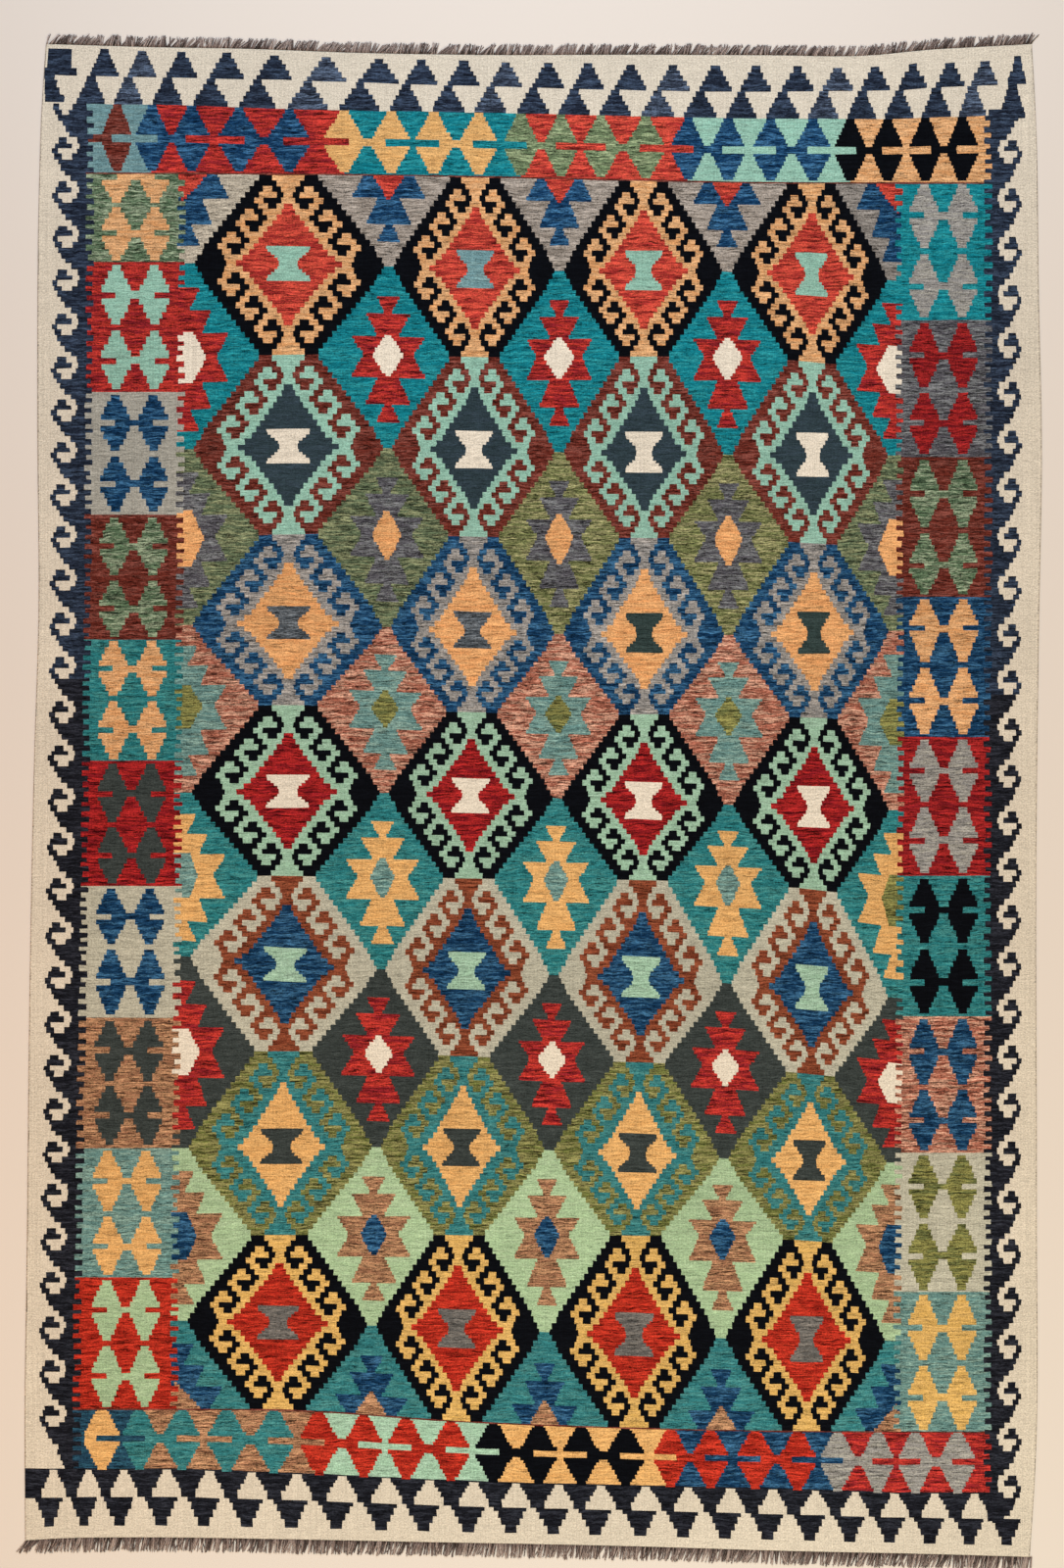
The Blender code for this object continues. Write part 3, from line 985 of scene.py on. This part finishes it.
def rim_order(rim):
    """The corners on the rim, in order: near end, right selvedge, far end, left selvedge."""
    near = sorted(p for p in rim if p[0] == ROWS)
    right = sorted((p for p in rim if p[1] == COLUMNS), reverse=True)
    far = sorted((p for p in rim if p[0] == 0), reverse=True)
    left = sorted(p for p in rim if p[1] == 0)
    return near[:-1] + right[:-1] + far[:-1] + left[:-1]


def linear(code):
    """A colour written as six hexadecimal digits, as linear light."""
    values = [int(code[k : k + 2], 16) / 255 for k in (0, 2, 4)]
    return [v / 12.92 if v <= 0.04045 else ((v + 0.055) / 1.055) ** 2.4 for v in values]


def build_cloth_mesh(loom, name):
    """The cloth as one closed sheet: its upper side, its coarser underside and the rim between."""
    shift = frame_shift()
    top_patches = chart_patches(loom.chart, PATCH_CELLS)
    coarse = np.ascontiguousarray(loom.chart[::UNDERSIDE_FACTOR, ::UNDERSIDE_FACTOR])
    under_patches = scaled_patches(chart_patches(coarse, UNDERSIDE_PATCH_CELLS), UNDERSIDE_FACTOR)
    top_corners, under_corners = corners_of(top_patches), corners_of(under_patches)
    rim = on_rim(top_corners | under_corners)
    top_corners, under_corners = top_corners | rim, under_corners | rim
    points, index = [], {}

    def add_ring(ring, cells):
        for cell in sorted(cells):
            index[ring, cell] = len(points)
            points.append((ring, *cell))

    add_ring(0, top_corners)
    add_ring(3, under_corners)
    for ring in (1, 2):
        add_ring(ring, rim)
    rings, rows, columns = (np.array(v) for v in zip(*points))
    across, along = loom.place(rows, columns)
    hand = np.random.default_rng(UNEVEN_SEED).normal(0.0, 1.0, (2, rows.size)).clip(-2.0, 2.0)
    inside = (rows > 0) & (rows < ROWS) & (columns > 0) & (columns < COLUMNS)
    across = across + inside * hand[0] * UNEVEN_ACROSS
    along = along + inside * hand[1] * UNEVEN_ALONG
    inset = np.array([ring[0] for ring in RIM_RINGS])[rings]
    share = np.array([ring[1] for ring in RIM_RINGS])[rings]
    height = rise_at(across, along) + CLOTH_THICKNESS * share
    across = across + inset * ((columns == 0) * 1.0 - (columns == COLUMNS) * 1.0)
    along = along + inset * ((rows == ROWS) * 1.0 - (rows == 0) * 1.0)
    vertices = np.column_stack((across + shift[0], along + shift[1], height))
    faces, lots, uvs = [], [], []

    def uv_of(ring, cell):
        r, c = cell
        out = RIM_OUT[ring] * UV_MARGIN
        u = UV_MARGIN + (1 - 2 * UV_MARGIN) * c / COLUMNS
        v = 1 - UV_MARGIN - (1 - 2 * UV_MARGIN) * r / ROWS
        u += out * ((c == COLUMNS) - (c == 0))
        v += out * ((r == 0) - (r == ROWS))
        return (u + 1.0, v) if ring == 3 else (u, v)

    def add_face(outline, lot):
        faces.append([index[point] for point in outline])
        lots.append(lot)
        uvs.extend(uv_of(*point) for point in outline)

    for patch, outline in zip(top_patches, patch_outlines(top_patches, top_corners)):
        add_face([(0, cell) for cell in outline], patch[4])
    for patch, outline in zip(under_patches, patch_outlines(under_patches, under_corners)):
        add_face([(3, cell) for cell in reversed(outline)], patch[4])
    order = rim_order(rim)
    for a, b in zip(order, order[1:] + order[:1]):
        cell = min((a[0] + b[0]) // 2, ROWS - 1), min((a[1] + b[1]) // 2, COLUMNS - 1)
        for upper in range(3):
            lower = upper + 1
            add_face([(upper, a), (lower, a), (lower, b), (upper, b)], loom.chart[cell])
    mesh = bpy.data.meshes.new(name)
    mesh.from_pydata(vertices.tolist(), [], faces)
    layer = mesh.uv_layers.new(name="OFBake")
    layer.data.foreach_set("uv", np.array(uvs, np.float32).ravel())
    return mesh, np.array(lots)


LOT_SPREAD = 0.05  # how much lighter or darker one lot of a dye is than another
LOT_NUMBERS = 90.0


def dye_attributes(mesh, loom, lots, dyes, seed):
    """Each patch's own colour, its streaks' colour, the strength of its streaks and of its painted
    groove shade, and a number for its lot.
    """
    rng = random.Random(seed)
    table = []
    for name in loom.lots:
        value = 1.0 + rng.uniform(-LOT_SPREAD, LOT_SPREAD)
        main, streak, strength = dyes[name]
        row = [c * value for c in main] + [1.0] + [c * value for c in streak] + [1.0]
        table.append(row + [strength, rng.uniform(0.0, LOT_NUMBERS)])
    values = np.array(table, np.float32)[lots]
    for name, kind, key, columns in (
        ("dye", "FLOAT_COLOR", "color", slice(0, 4)),
        ("streak_dye", "FLOAT_COLOR", "color", slice(4, 8)),
        ("streak_and_shade_strength", "FLOAT", "value", slice(8, 9)),
        ("lot", "FLOAT", "value", slice(9, 10)),
    ):
        attribute = mesh.attributes.new(name, kind, "FACE")
        attribute.data.foreach_set(key, np.ascontiguousarray(values[:, columns]).ravel())


class Nodes:
    """A short way to write a material's nodes."""

    def __init__(self, name):
        self.material = bpy.data.materials.new(name)
        self.material.use_nodes = True
        self.tree = self.material.node_tree
        self.shader = self.tree.nodes["Principled BSDF"]

    def add(self, kind, inputs=None, **settings):
        """A new node with its settings and inputs."""
        node = self.tree.nodes.new(kind)
        for key, value in settings.items():
            setattr(node, key, value)
        for key, value in (inputs or {}).items():
            self.feed(node.inputs[key], value)
        return node

    def feed(self, socket, value):
        """Gives a socket a value, or links it to another socket."""
        if isinstance(value, bpy.types.NodeSocket):
            self.tree.links.new(value, socket)
        else:
            socket.default_value = value

    def math(self, operation, result, *others):
        """Takes the values together, one after another."""
        for other in others:
            inputs = {0: result, 1: other}
            result = self.add("ShaderNodeMath", inputs, operation=operation).outputs[0]
        return result

    def plus(self, *values):
        """Their sum."""
        return self.math("ADD", *values)

    def times(self, *values):
        """Their product."""
        return self.math("MULTIPLY", *values)

    def noise(self, vector, detail=2.0, roughness=0.5):
        """Noise from 0 to 1."""
        inputs = {"Vector": vector, "Scale": 1.0, "Detail": detail, "Roughness": roughness}
        return self.add("ShaderNodeTexNoise", inputs).outputs["Fac"]

    def spread(self, value, low, high, to_low, to_high, smooth=False):
        """A value stretched from one range to another."""
        inputs = {"Value": value, "From Min": low, "From Max": high}
        inputs.update({"To Min": to_low, "To Max": to_high})
        kind = "SMOOTHSTEP" if smooth else "LINEAR"
        return self.add("ShaderNodeMapRange", inputs, interpolation_type=kind).outputs["Result"]

    def attribute(self, name, output):
        """What one of the mesh's attributes holds."""
        node = self.add("ShaderNodeAttribute", attribute_name=name)
        return node.outputs[output]

    def vector(self, x, y, z):
        """Three values as one vector."""
        return self.add("ShaderNodeCombineXYZ", {"X": x, "Y": y, "Z": z}).outputs[0]


def woven_wool(settings):
    """Flat-woven wool: streaks along the weft, ribs over the warp, uneven handspun yarn, and
    painted shade and highlight in its grooves and ribs.
    """
    nodes = Nodes("woven_wool")
    place = nodes.add("ShaderNodeTexCoord").outputs["Object"]
    parts = nodes.add("ShaderNodeSeparateXYZ", {0: place})
    x, y = parts.outputs["X"], parts.outputs["Y"]
    lot = nodes.attribute("lot", "Fac")

    def threads(across, along, detail=2.0, roughness=0.5, lots=lot):
        """Noise with so many cells to the metre across and along, other for each lot."""
        vector = nodes.vector(nodes.times(x, across), nodes.times(y, along), lots)
        return nodes.noise(vector, detail, roughness)

    # The weft wanders a little, so its streaks do too.
    wander = threads(26.0, 34.0, 2.0, lots=2.3)
    y = nodes.plus(y, nodes.spread(wander, 0.3, 0.7, -0.0022, 0.0022))
    strength = nodes.attribute("streak_and_shade_strength", "Fac")
    length, width = settings.streak_length, settings.streak_width
    streaks = threads(1 / length, 1 / width, 3.0, 0.65)
    groove_shade_and_highlight = threads(1.6 / length, 2.3 / width, 2.0, 0.6, nodes.plus(lot, 4.4))
    picks = threads(5.0 / length, 1 / settings.weft_pitch, 1.0)
    # Where the streaks' yarn takes the place of the lot's own.
    mask = nodes.spread(streaks, 0.45, 0.59, 0.0, 1.0, smooth=True)
    mask = nodes.plus(mask, nodes.spread(picks, 0.3, 0.7, -0.3, 0.3))
    mask = nodes.times(mask, nodes.times(strength, 1.25))
    mask = nodes.add("ShaderNodeClamp", {"Value": mask}).outputs[0]
    colour = nodes.add("ShaderNodeMix", data_type="RGBA", blend_type="MIX")
    nodes.feed(colour.inputs["Factor"], mask)
    nodes.feed(colour.inputs[6], nodes.attribute("dye", "Color"))
    nodes.feed(colour.inputs[7], nodes.attribute("streak_dye", "Color"))
    # On the colour: painted groove shadow, ridge highlight and rib shade, broad unevenness and
    # fibres.
    ribs = threads(1 / settings.warp_pitch, 4.0, 1.0, lots=0.0)
    broad = threads(2.2, 5.0, 2.0, lots=3.7)
    fibres = threads(300.0, 420.0, 2.0, lots=8.1)
    speckle = threads(0.8 / settings.warp_pitch, 1 / settings.weft_pitch, 1.0, lots=5.9)
    # painted shadow in the grooves between packed wefts (dark), painted highlights on the ridges
    # between them (pale)
    dark = nodes.spread(groove_shade_and_highlight, 0.34, 0.46, -1.15, 0.0, smooth=True)
    pale = nodes.spread(groove_shade_and_highlight, 0.52, 0.66, 0.0, 0.90, smooth=True)
    # relief here is colour: painted shade and highlight of the grooves and picks, with speckle that
    # differs at random
    relief = nodes.plus(dark, pale, nodes.spread(speckle, 0.28, 0.72, -0.45, 0.45))
    relief = nodes.plus(relief, nodes.spread(picks, 0.28, 0.72, -0.50, 0.50))
    relief = nodes.plus(nodes.times(relief, strength), 1.0)
    relief = nodes.plus(relief, nodes.spread(speckle, 0.28, 0.72, -0.15, 0.15))
    # painted shade along the ribs over the warp, which the bump also raises; broad unevenness and
    # fibres differ at random
    tone_and_painted_shade = nodes.times(relief, nodes.spread(ribs, 0.3, 0.7, 0.93, 1.07))
    tone_and_painted_shade = nodes.times(tone_and_painted_shade, nodes.spread(broad, 0.3, 0.7, 0.95, 1.05))
    tone_and_painted_shade = nodes.times(tone_and_painted_shade, nodes.spread(fibres, 0.3, 0.7, 0.87, 1.13))
    tone_and_painted_shade = nodes.math("MAXIMUM", tone_and_painted_shade, 0.15)
    shade = nodes.add("ShaderNodeVectorMath", {0: colour.outputs[2]}, operation="SCALE")
    nodes.feed(shade.inputs["Scale"], tone_and_painted_shade)
    # The relief of ribs, picks and fibres.
    height = nodes.plus(nodes.times(ribs, 0.5), nodes.times(picks, 0.7), nodes.times(fibres, 0.4))
    bump = nodes.add("ShaderNodeBump", {"Strength": 0.55, "Distance": settings.weave_depth})
    nodes.feed(bump.inputs["Height"], height)
    shader = nodes.shader
    nodes.feed(shader.inputs["Base Color"], shade.outputs[0])
    nodes.feed(shader.inputs["Roughness"], nodes.spread(fibres, 0.3, 0.7, 0.84, 0.96))
    nodes.feed(shader.inputs["Normal"], bump.outputs[0])
    nodes.feed(shader.inputs["Specular IOR Level"], 0.05)
    return nodes.material


FRINGE_CLEARANCE = 0.0003  # between the cloth's edge and the strands
FRINGE_INSET = 0.002  # from the cloth's corners to the outermost strands
STRAND_RINGS = 5
STRAND_SIDES = 4
STRANDS_PER_BAND = 240  # strands side by side in the texture layout
STRAND_TAPER = 0.30
STRAND_FLATNESS = 1.25  # how much wider than high a strand is
STRAND_ROOT = 0.0014  # the height at which strands leave the cloth, above its underside
STRAND_FLOOR = 0.0002
STRAND_STRAY = 0.35  # of its root, in strand pitches
STRAND_LENGTHS = (0.88, 1.06)  # as shares of its lock's
STRAND_SHADE_SPREAD = 0.34
STRAND_LEAN_SPREAD = 0.12
STRAND_CURL = 0.0008
STRAND_HUMP = 0.0012  # at its middle
STRIP_MARGIN = 0.1  # beside each strand in the texture layout
BAND_MARGIN = 0.05  # over and under each band of strands there
LOCK_STRANDS = (2, 3, 4, 5, 6, 8)
LOCK_LENGTHS = (0.92, 1.04)  # as shares of the fringe's
LOCK_SHADES = (0.20, 0.55)
LOCK_GATHERS = (0.0, 0.30)  # how far its strands draw to its middle
LOCK_GAPS = (0.0, 0.0, 0.0, 0.5)  # to the next lock, in strand pitches
LEANS = ((-0.22, 0.15), (0.45, 0.22))  # mean and spread of the locks' lean, near end and far end
# At the near end's corners the locks lean outwards: by how much, and over what distance it fades.
LEFT_CORNER_LEAN = (0.5, 0.03)
RIGHT_CORNER_LEAN = (0.6, 0.02)


def fringe_strands(end, length, settings, seed):
    """The strands of one fringe. Each is its root across, its lean, its pull to the side, its
    length and its shade. Strands lie in locks, which lean and gather together."""
    rng = random.Random(seed)
    pitch = settings.strand_pitch
    left, right = corner(0, end)[0] + FRINGE_INSET, corner(1, end)[0] - FRINGE_INSET
    strands, at = [], left
    while at < right:
        count = rng.choice(LOCK_STRANDS)
        lean = rng.gauss(*LEANS[end])
        if not end:
            lean -= LEFT_CORNER_LEAN[0] * math.exp(-(at - left) / LEFT_CORNER_LEAN[1])
            lean += RIGHT_CORNER_LEAN[0] * math.exp(-(right - at) / RIGHT_CORNER_LEAN[1])
        lock_length = length * rng.uniform(*LOCK_LENGTHS)
        lock_shade = rng.uniform(*LOCK_SHADES)
        gather = rng.uniform(*LOCK_GATHERS)
        middle = at + count * pitch / 2
        for _ in range(count):
            root = at + rng.uniform(-STRAND_STRAY, STRAND_STRAY) * pitch
            pull = (middle - root) * gather
            own = lock_length * rng.uniform(*STRAND_LENGTHS)
            shade = min(1.0, max(0.0, lock_shade + rng.gauss(0.0, STRAND_SHADE_SPREAD)))
            own_lean = lean + rng.gauss(0.0, STRAND_LEAN_SPREAD)
            strands.append((root, own_lean, pull, own, shade))
            at += pitch
        at += rng.choice(LOCK_GAPS) * pitch
    return strands


def build_fringe_mesh(end, length, settings, seed, name):
    """One mesh with every strand of a fringe, each a thin tapered tube that lies on the floor."""
    shift = frame_shift()
    rng = random.Random(seed + 1)
    way = 1 if end else -1
    vertices, faces, uvs, shades, shares = [], [], [], [], []
    strands = fringe_strands(end, length, settings, seed)
    bands = math.ceil(len(strands) / STRANDS_PER_BAND)
    strip, band_height = 1 - 2 * STRIP_MARGIN, 1 - 2 * BAND_MARGIN
    for k, (root, lean, pull, own, shade) in enumerate(strands):
        edge = float(end_height(end, root)) + way * FRINGE_CLEARANCE
        curl, phase = rng.uniform(-STRAND_CURL, STRAND_CURL), rng.uniform(0.0, math.tau)
        hump = rng.uniform(0.0, STRAND_HUMP)
        first = len(vertices)
        ground = float(rise_at(np.array(root), np.array(edge)))
        for ring in range(STRAND_RINGS):
            share = ring / (STRAND_RINGS - 1)
            radius = settings.strand_radius * (1.0 - STRAND_TAPER * share)
            x = root + pull * share**1.4 + lean * own * share**1.2
            x += curl * math.sin(phase + 4.0 * share) * share
            y = edge + way * own * share / math.hypot(1.0, lean)
            z = (1 - share) * (STRAND_ROOT + ground) + share * (radius + STRAND_FLOOR)
            z += hump * math.sin(math.pi * share)
            for side in range(STRAND_SIDES):
                turn = math.tau * side / STRAND_SIDES
                flat = STRAND_FLATNESS * radius
                point = x + flat * math.cos(turn), y, max(0.0, z + radius * math.sin(turn))
                vertices.append((point[0] + shift[0], point[1] + shift[1], point[2]))
                shares.append(share)
                shades.append(shade)
        band, place = divmod(k, STRANDS_PER_BAND)
        for ring in range(STRAND_RINGS - 1):
            for side in range(STRAND_SIDES):
                after = (side + 1) % STRAND_SIDES
                a, b = first + ring * STRAND_SIDES, first + (ring + 1) * STRAND_SIDES
                face = [a + side, a + after, b + after, b + side]
                faces.append(face if way < 0 else face[::-1])
                lows = [(side, ring), (side + 1, ring), (side + 1, ring + 1), (side, ring + 1)]
                for s, r in lows if way < 0 else lows[::-1]:
                    u = (place + STRIP_MARGIN + strip * s / STRAND_SIDES) / STRANDS_PER_BAND
                    v = (band + BAND_MARGIN + band_height * r / (STRAND_RINGS - 1)) / bands
                    uvs.append((u, v))
        for ring, order in ((0, 1), (STRAND_RINGS - 1, -1)):
            a = first + ring * STRAND_SIDES
            face = [a + side for side in range(STRAND_SIDES)][::-order]
            faces.append(face if way < 0 else face[::-1])
            v = (band + BAND_MARGIN + band_height * (ring > 0)) / bands
            uvs.extend([((place + 0.5) / STRANDS_PER_BAND, v)] * STRAND_SIDES)
    mesh = bpy.data.meshes.new(name)
    mesh.from_pydata(vertices, [], faces)
    mesh.uv_layers.new(name="OFBake").data.foreach_set("uv", np.array(uvs, np.float32).ravel())
    for key, values in (("shade", shades), ("share", shares)):
        attribute = mesh.attributes.new(key, "FLOAT", "POINT")
        attribute.data.foreach_set("value", np.array(values, np.float32))
    mesh.shade_smooth()
    return mesh


def fringe_wool(settings):
    """Undyed warp wool, grey to brown, with paler tips. Both fringes share it."""
    material = bpy.data.materials.get("fringe_wool")
    if material:
        return material
    nodes = Nodes("fringe_wool")
    place = nodes.add("ShaderNodeTexCoord").outputs["Object"]
    inputs = {0: place, 1: (700.0, 220.0, 700.0)}
    scaled = nodes.add("ShaderNodeVectorMath", inputs, operation="MULTIPLY")
    fibres = nodes.noise(scaled.outputs[0], 2.0)
    shade = nodes.attribute("shade", "Fac")
    share = nodes.attribute("share", "Fac")
    mixed = nodes.plus(nodes.times(shade, 0.8), nodes.times(share, 0.3))
    mixed = nodes.plus(mixed, nodes.spread(fibres, 0.3, 0.7, -0.18, 0.18))
    ramp = nodes.add("ShaderNodeValToRGB", {"Fac": mixed})
    elements = ramp.color_ramp.elements
    elements[0].position, elements[0].color = 0.05, (*settings.dark, 1.0)
    elements[1].position, elements[1].color = 0.95, (*settings.light, 1.0)
    middle = elements.new(0.45)
    middle.color = (*settings.middle, 1.0)
    nodes.feed(nodes.shader.inputs["Base Color"], ramp.outputs["Color"])
    nodes.feed(nodes.shader.inputs["Roughness"], 0.9)
    nodes.feed(nodes.shader.inputs["Specular IOR Level"], 0.2)
    bump = nodes.add("ShaderNodeBump", {"Strength": 0.5, "Distance": 0.0003, "Height": fibres})
    nodes.feed(nodes.shader.inputs["Normal"], bump.outputs[0])
    return nodes.material


def new_piece(name, mesh, material, slot, *stands_for):
    """Puts a mesh into the scene as a piece that rides the rug and stands for its CAD nodes."""
    mesh.materials.append(material)
    piece = bpy.data.objects.new(name, mesh)
    bpy.context.scene.collection.objects.link(piece)
    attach(piece, "root")
    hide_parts(*stands_for)
    return piece


def metres(name, description, default, low, high):
    """A length that a user may change, in metres."""
    return bpy.props.FloatProperty(
        name=name, description=description, default=default, min=low, max=high, unit="LENGTH"
    )


def colour_of(name, description, code):
    """A colour that a user may change."""
    return bpy.props.FloatVectorProperty(
        name=name,
        description=description,
        default=linear(code),
        min=0.0,
        max=1.0,
        size=3,
        subtype="COLOR",
    )


class KilimWeave(bpy.types.PropertyGroup):
    """Sizes of the yarn and of its streaks"""

    warp_pitch: metres("Warp pitch", "Distance between two ribs over the warp", 0.0026, 0.001, 0.01)
    weft_pitch: metres("Weft pitch", "Distance between two picks of weft", 0.0022, 0.0005, 0.01)
    streak_length: metres("Streak length", "How far a streak runs", 0.050, 0.01, 1.0)
    streak_width: metres("Streak width", "How wide a streak is", 0.0055, 0.002, 0.05)
    weave_depth: metres("Weave depth", "How deep the weave's relief is", 0.0006, 0.0, 0.003)


def dye_properties():
    """One colour for each yarn and one for its streaks."""
    properties = {}
    for name, (main, streak, _) in DYES.items():
        label = name.replace("_", " ")
        properties[name] = colour_of(label.capitalize(), f"Colour of the {label} yarn", main)
        properties[name + "_streak"] = colour_of(
            f"{label} streak".capitalize(), f"Colour of the {label} yarn's streaks", streak
        )
    return properties


class KilimDyes(bpy.types.PropertyGroup):
    """The dyes of the yarns"""

    __annotations__ = dye_properties()


class KilimFringe(bpy.types.PropertyGroup):
    """Sizes and colours of the fringes"""

    far_length: metres("Far length", "Length of the far fringe", 0.022, 0.005, 0.1)
    near_length: metres("Near length", "Length of the near fringe", 0.028, 0.005, 0.1)
    strand_pitch: metres("Strand pitch", "Distance between two strands", 0.0016, 0.001, 0.02)
    strand_radius: metres("Strand radius", "Radius of a strand at its root", 0.0011, 0.0002, 0.005)
    dark: colour_of("Dark", "Colour of the darkest strands", "38302C")
    middle: colour_of("Middle", "Colour of most strands", "80706C")
    light: colour_of("Light", "Colour of the palest strands", "C8B8B0")


class KilimStudio(bpy.types.PropertyGroup):
    """Light and floor"""

    floor: colour_of("Floor", "Colour of the floor", "F0E8E0")
    brightness: bpy.props.FloatProperty(
        name="Brightness",
        description="How bright the studio is",
        default=1.0,
        min=0.1,
        max=5.0,
        subtype="FACTOR",
    )


class KILIM_OT_cut_far_fringe(bpy.types.Operator):
    """Lay the cut warp ends at the far end"""

    bl_idname = "kilim.cut_far_fringe"
    bl_label = "Cut the far fringe"

    def execute(self, context):
        settings = context.scene.kilim_fringe
        mesh = build_fringe_mesh(1, settings.far_length, settings, 31, "warp_fringe_far")
        new_piece("warp_fringe_far", mesh, fringe_wool(settings), "warp_fringe", "fringe_far")
        return {"FINISHED"}


class KILIM_OT_cut_near_fringe(bpy.types.Operator):
    """Lay the cut warp ends at the near end"""

    bl_idname = "kilim.cut_near_fringe"
    bl_label = "Cut the near fringe"

    def execute(self, context):
        settings = context.scene.kilim_fringe
        mesh = build_fringe_mesh(0, settings.near_length, settings, 47, "warp_fringe_near")
        new_piece("warp_fringe_near", mesh, fringe_wool(settings), "warp_fringe", "fringe_near")
        return {"FINISHED"}


class KILIM_OT_weave_cloth(bpy.types.Operator):
    """Weave the cloth of the rug from its chart"""

    bl_idname = "kilim.weave_cloth"
    bl_label = "Weave the cloth"

    def execute(self, context):
        dyes = context.scene.kilim_dyes
        colours = {}
        for name, (_, _, strength) in DYES.items():
            streak = list(getattr(dyes, name + "_streak"))
            colours[name] = list(getattr(dyes, name)), streak, strength
        loom = weave_chart()
        mesh, lots = build_cloth_mesh(loom, "kilim_cloth")
        dye_attributes(mesh, loom, lots, colours, seed=5)
        mesh.shade_smooth()
        mesh.set_sharp_from_angle(angle=math.radians(20))
        material = woven_wool(context.scene.kilim_weave)
        piece = new_piece("kilim_cloth", mesh, material, "woven_wool", "kilim")
        return {"FINISHED"}


CAMERA_HEIGHT = 6.0
VIEW_LENGTH = 3.144  # metres of floor down the whole picture
VIEW_MIDDLE = (-0.003, 0.0295)
SENSOR_WIDTH = 36.0  # in millimetres, as the camera's settings want it
FLOOR_HALF = 9.0
FLOOR_HEIGHT = -0.0004
LIGHTS = (
    # name, place, size, power in watts, colour
    ("light_far", (0.0, 2.9, 2.6), 2.4, 80, (0.85, 0.92, 1.0)),
    ("light_near", (0.4, -3.0, 2.8), 2.4, 80, (1.0, 0.98, 0.86)),
    ("light_left", (-2.9, -1.0, 2.2), 1.6, 30, (1.0, 0.50, 0.20)),
    ("light_right", (3.0, -0.3, 2.6), 2.0, 30, (1.0, 0.60, 0.25)),
)
AMBIENT_COLOUR = (1.0, 0.97, 0.93, 1.0)
AMBIENT_STRENGTH = 0.10


class KILIM_OT_set_stage(bpy.types.Operator):
    """Lay the floor, light it and hang the camera over the rug"""

    bl_idname = "kilim.set_stage"
    bl_label = "Set the stage"

    def execute(self, context):
        scene = context.scene
        shift = frame_shift()
        mesh = bpy.data.meshes.new("floor")
        half = FLOOR_HALF
        outline = (-half, -half), (half, -half), (half, half), (-half, half)
        mesh.from_pydata([(x, y, FLOOR_HEIGHT) for x, y in outline], [], [(0, 1, 2, 3)])
        floor = bpy.data.objects.new("floor", mesh)
        scene.collection.objects.link(floor)
        nodes = Nodes("floor_plain")
        nodes.feed(nodes.shader.inputs["Base Color"], (*scene.kilim_studio.floor, 1.0))
        nodes.feed(nodes.shader.inputs["Roughness"], 0.9)
        mesh.materials.append(nodes.material)
        brightness = scene.kilim_studio.brightness
        for name, place, size, power, tint in LIGHTS:
            data = bpy.data.lights.new(name, "AREA")
            data.shape, data.size = "DISK", size
            data.energy, data.color = power * brightness, tint
            light = bpy.data.objects.new(name, data)
            scene.collection.objects.link(light)
            light.location = place
            light.rotation_euler = (-light.location).to_track_quat("-Z", "Y").to_euler()
        world = bpy.data.worlds.new("studio")
        world.use_nodes = True
        background = world.node_tree.nodes["Background"]
        background.inputs["Color"].default_value = AMBIENT_COLOUR
        background.inputs["Strength"].default_value = AMBIENT_STRENGTH * brightness
        scene.world = world
        scene.view_settings.view_transform = "Standard"
        data = bpy.data.cameras.new("camera")
        data.sensor_width = SENSOR_WIDTH
        data.lens = data.sensor_width * CAMERA_HEIGHT / VIEW_LENGTH
        camera = bpy.data.objects.new("camera", data)
        scene.collection.objects.link(camera)
        camera.location = (VIEW_MIDDLE[0] + shift[0], VIEW_MIDDLE[1] + shift[1], CAMERA_HEIGHT)
        scene.camera = camera
        return {"FINISHED"}


class KILIM_PT_rug(bpy.types.Panel):
    """Lists what the rug is made of, in the sidebar"""

    bl_idname = "KILIM_PT_rug"
    bl_label = "Kilim rug"
    bl_space_type = "VIEW_3D"
    bl_region_type = "UI"
    bl_category = "Kilim"

    def draw(self, context):
        for operator in OPERATORS:
            self.layout.operator(operator.bl_idname)
        scene = context.scene
        for group in (scene.kilim_weave, scene.kilim_fringe, scene.kilim_studio):
            for name in group.bl_rna.properties.keys():
                if name not in ("rna_type", "name"):
                    self.layout.prop(group, name)
        for name in DYES:
            row = self.layout.row()
            row.prop(scene.kilim_dyes, name)
            row.prop(scene.kilim_dyes, name + "_streak", text="")


OPERATORS = (
    KILIM_OT_set_stage,
    KILIM_OT_cut_far_fringe,
    KILIM_OT_cut_near_fringe,
    KILIM_OT_weave_cloth,
)
GROUPS = {
    "kilim_weave": KilimWeave,
    "kilim_dyes": KilimDyes,
    "kilim_fringe": KilimFringe,
    "kilim_studio": KilimStudio,
}


def register():
    """Makes the classes known and gives the scene its properties."""
    for cls in (*GROUPS.values(), *OPERATORS, KILIM_PT_rug):
        bpy.utils.register_class(cls)
    for name, cls in GROUPS.items():
        setattr(bpy.types.Scene, name, bpy.props.PointerProperty(type=cls))


def unregister():
    """Undoes what register does."""
    for name in GROUPS:
        delattr(bpy.types.Scene, name)
    for cls in (KILIM_PT_rug, *reversed(OPERATORS), *reversed(GROUPS.values())):
        bpy.utils.unregister_class(cls)


def main():
    """Makes the whole scene."""
    register()
    bpy.ops.kilim.set_stage()
    bpy.ops.kilim.cut_far_fringe()
    bpy.ops.kilim.cut_near_fringe()
    bpy.ops.kilim.weave_cloth()
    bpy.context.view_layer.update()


if __name__ == "__main__":
    main()
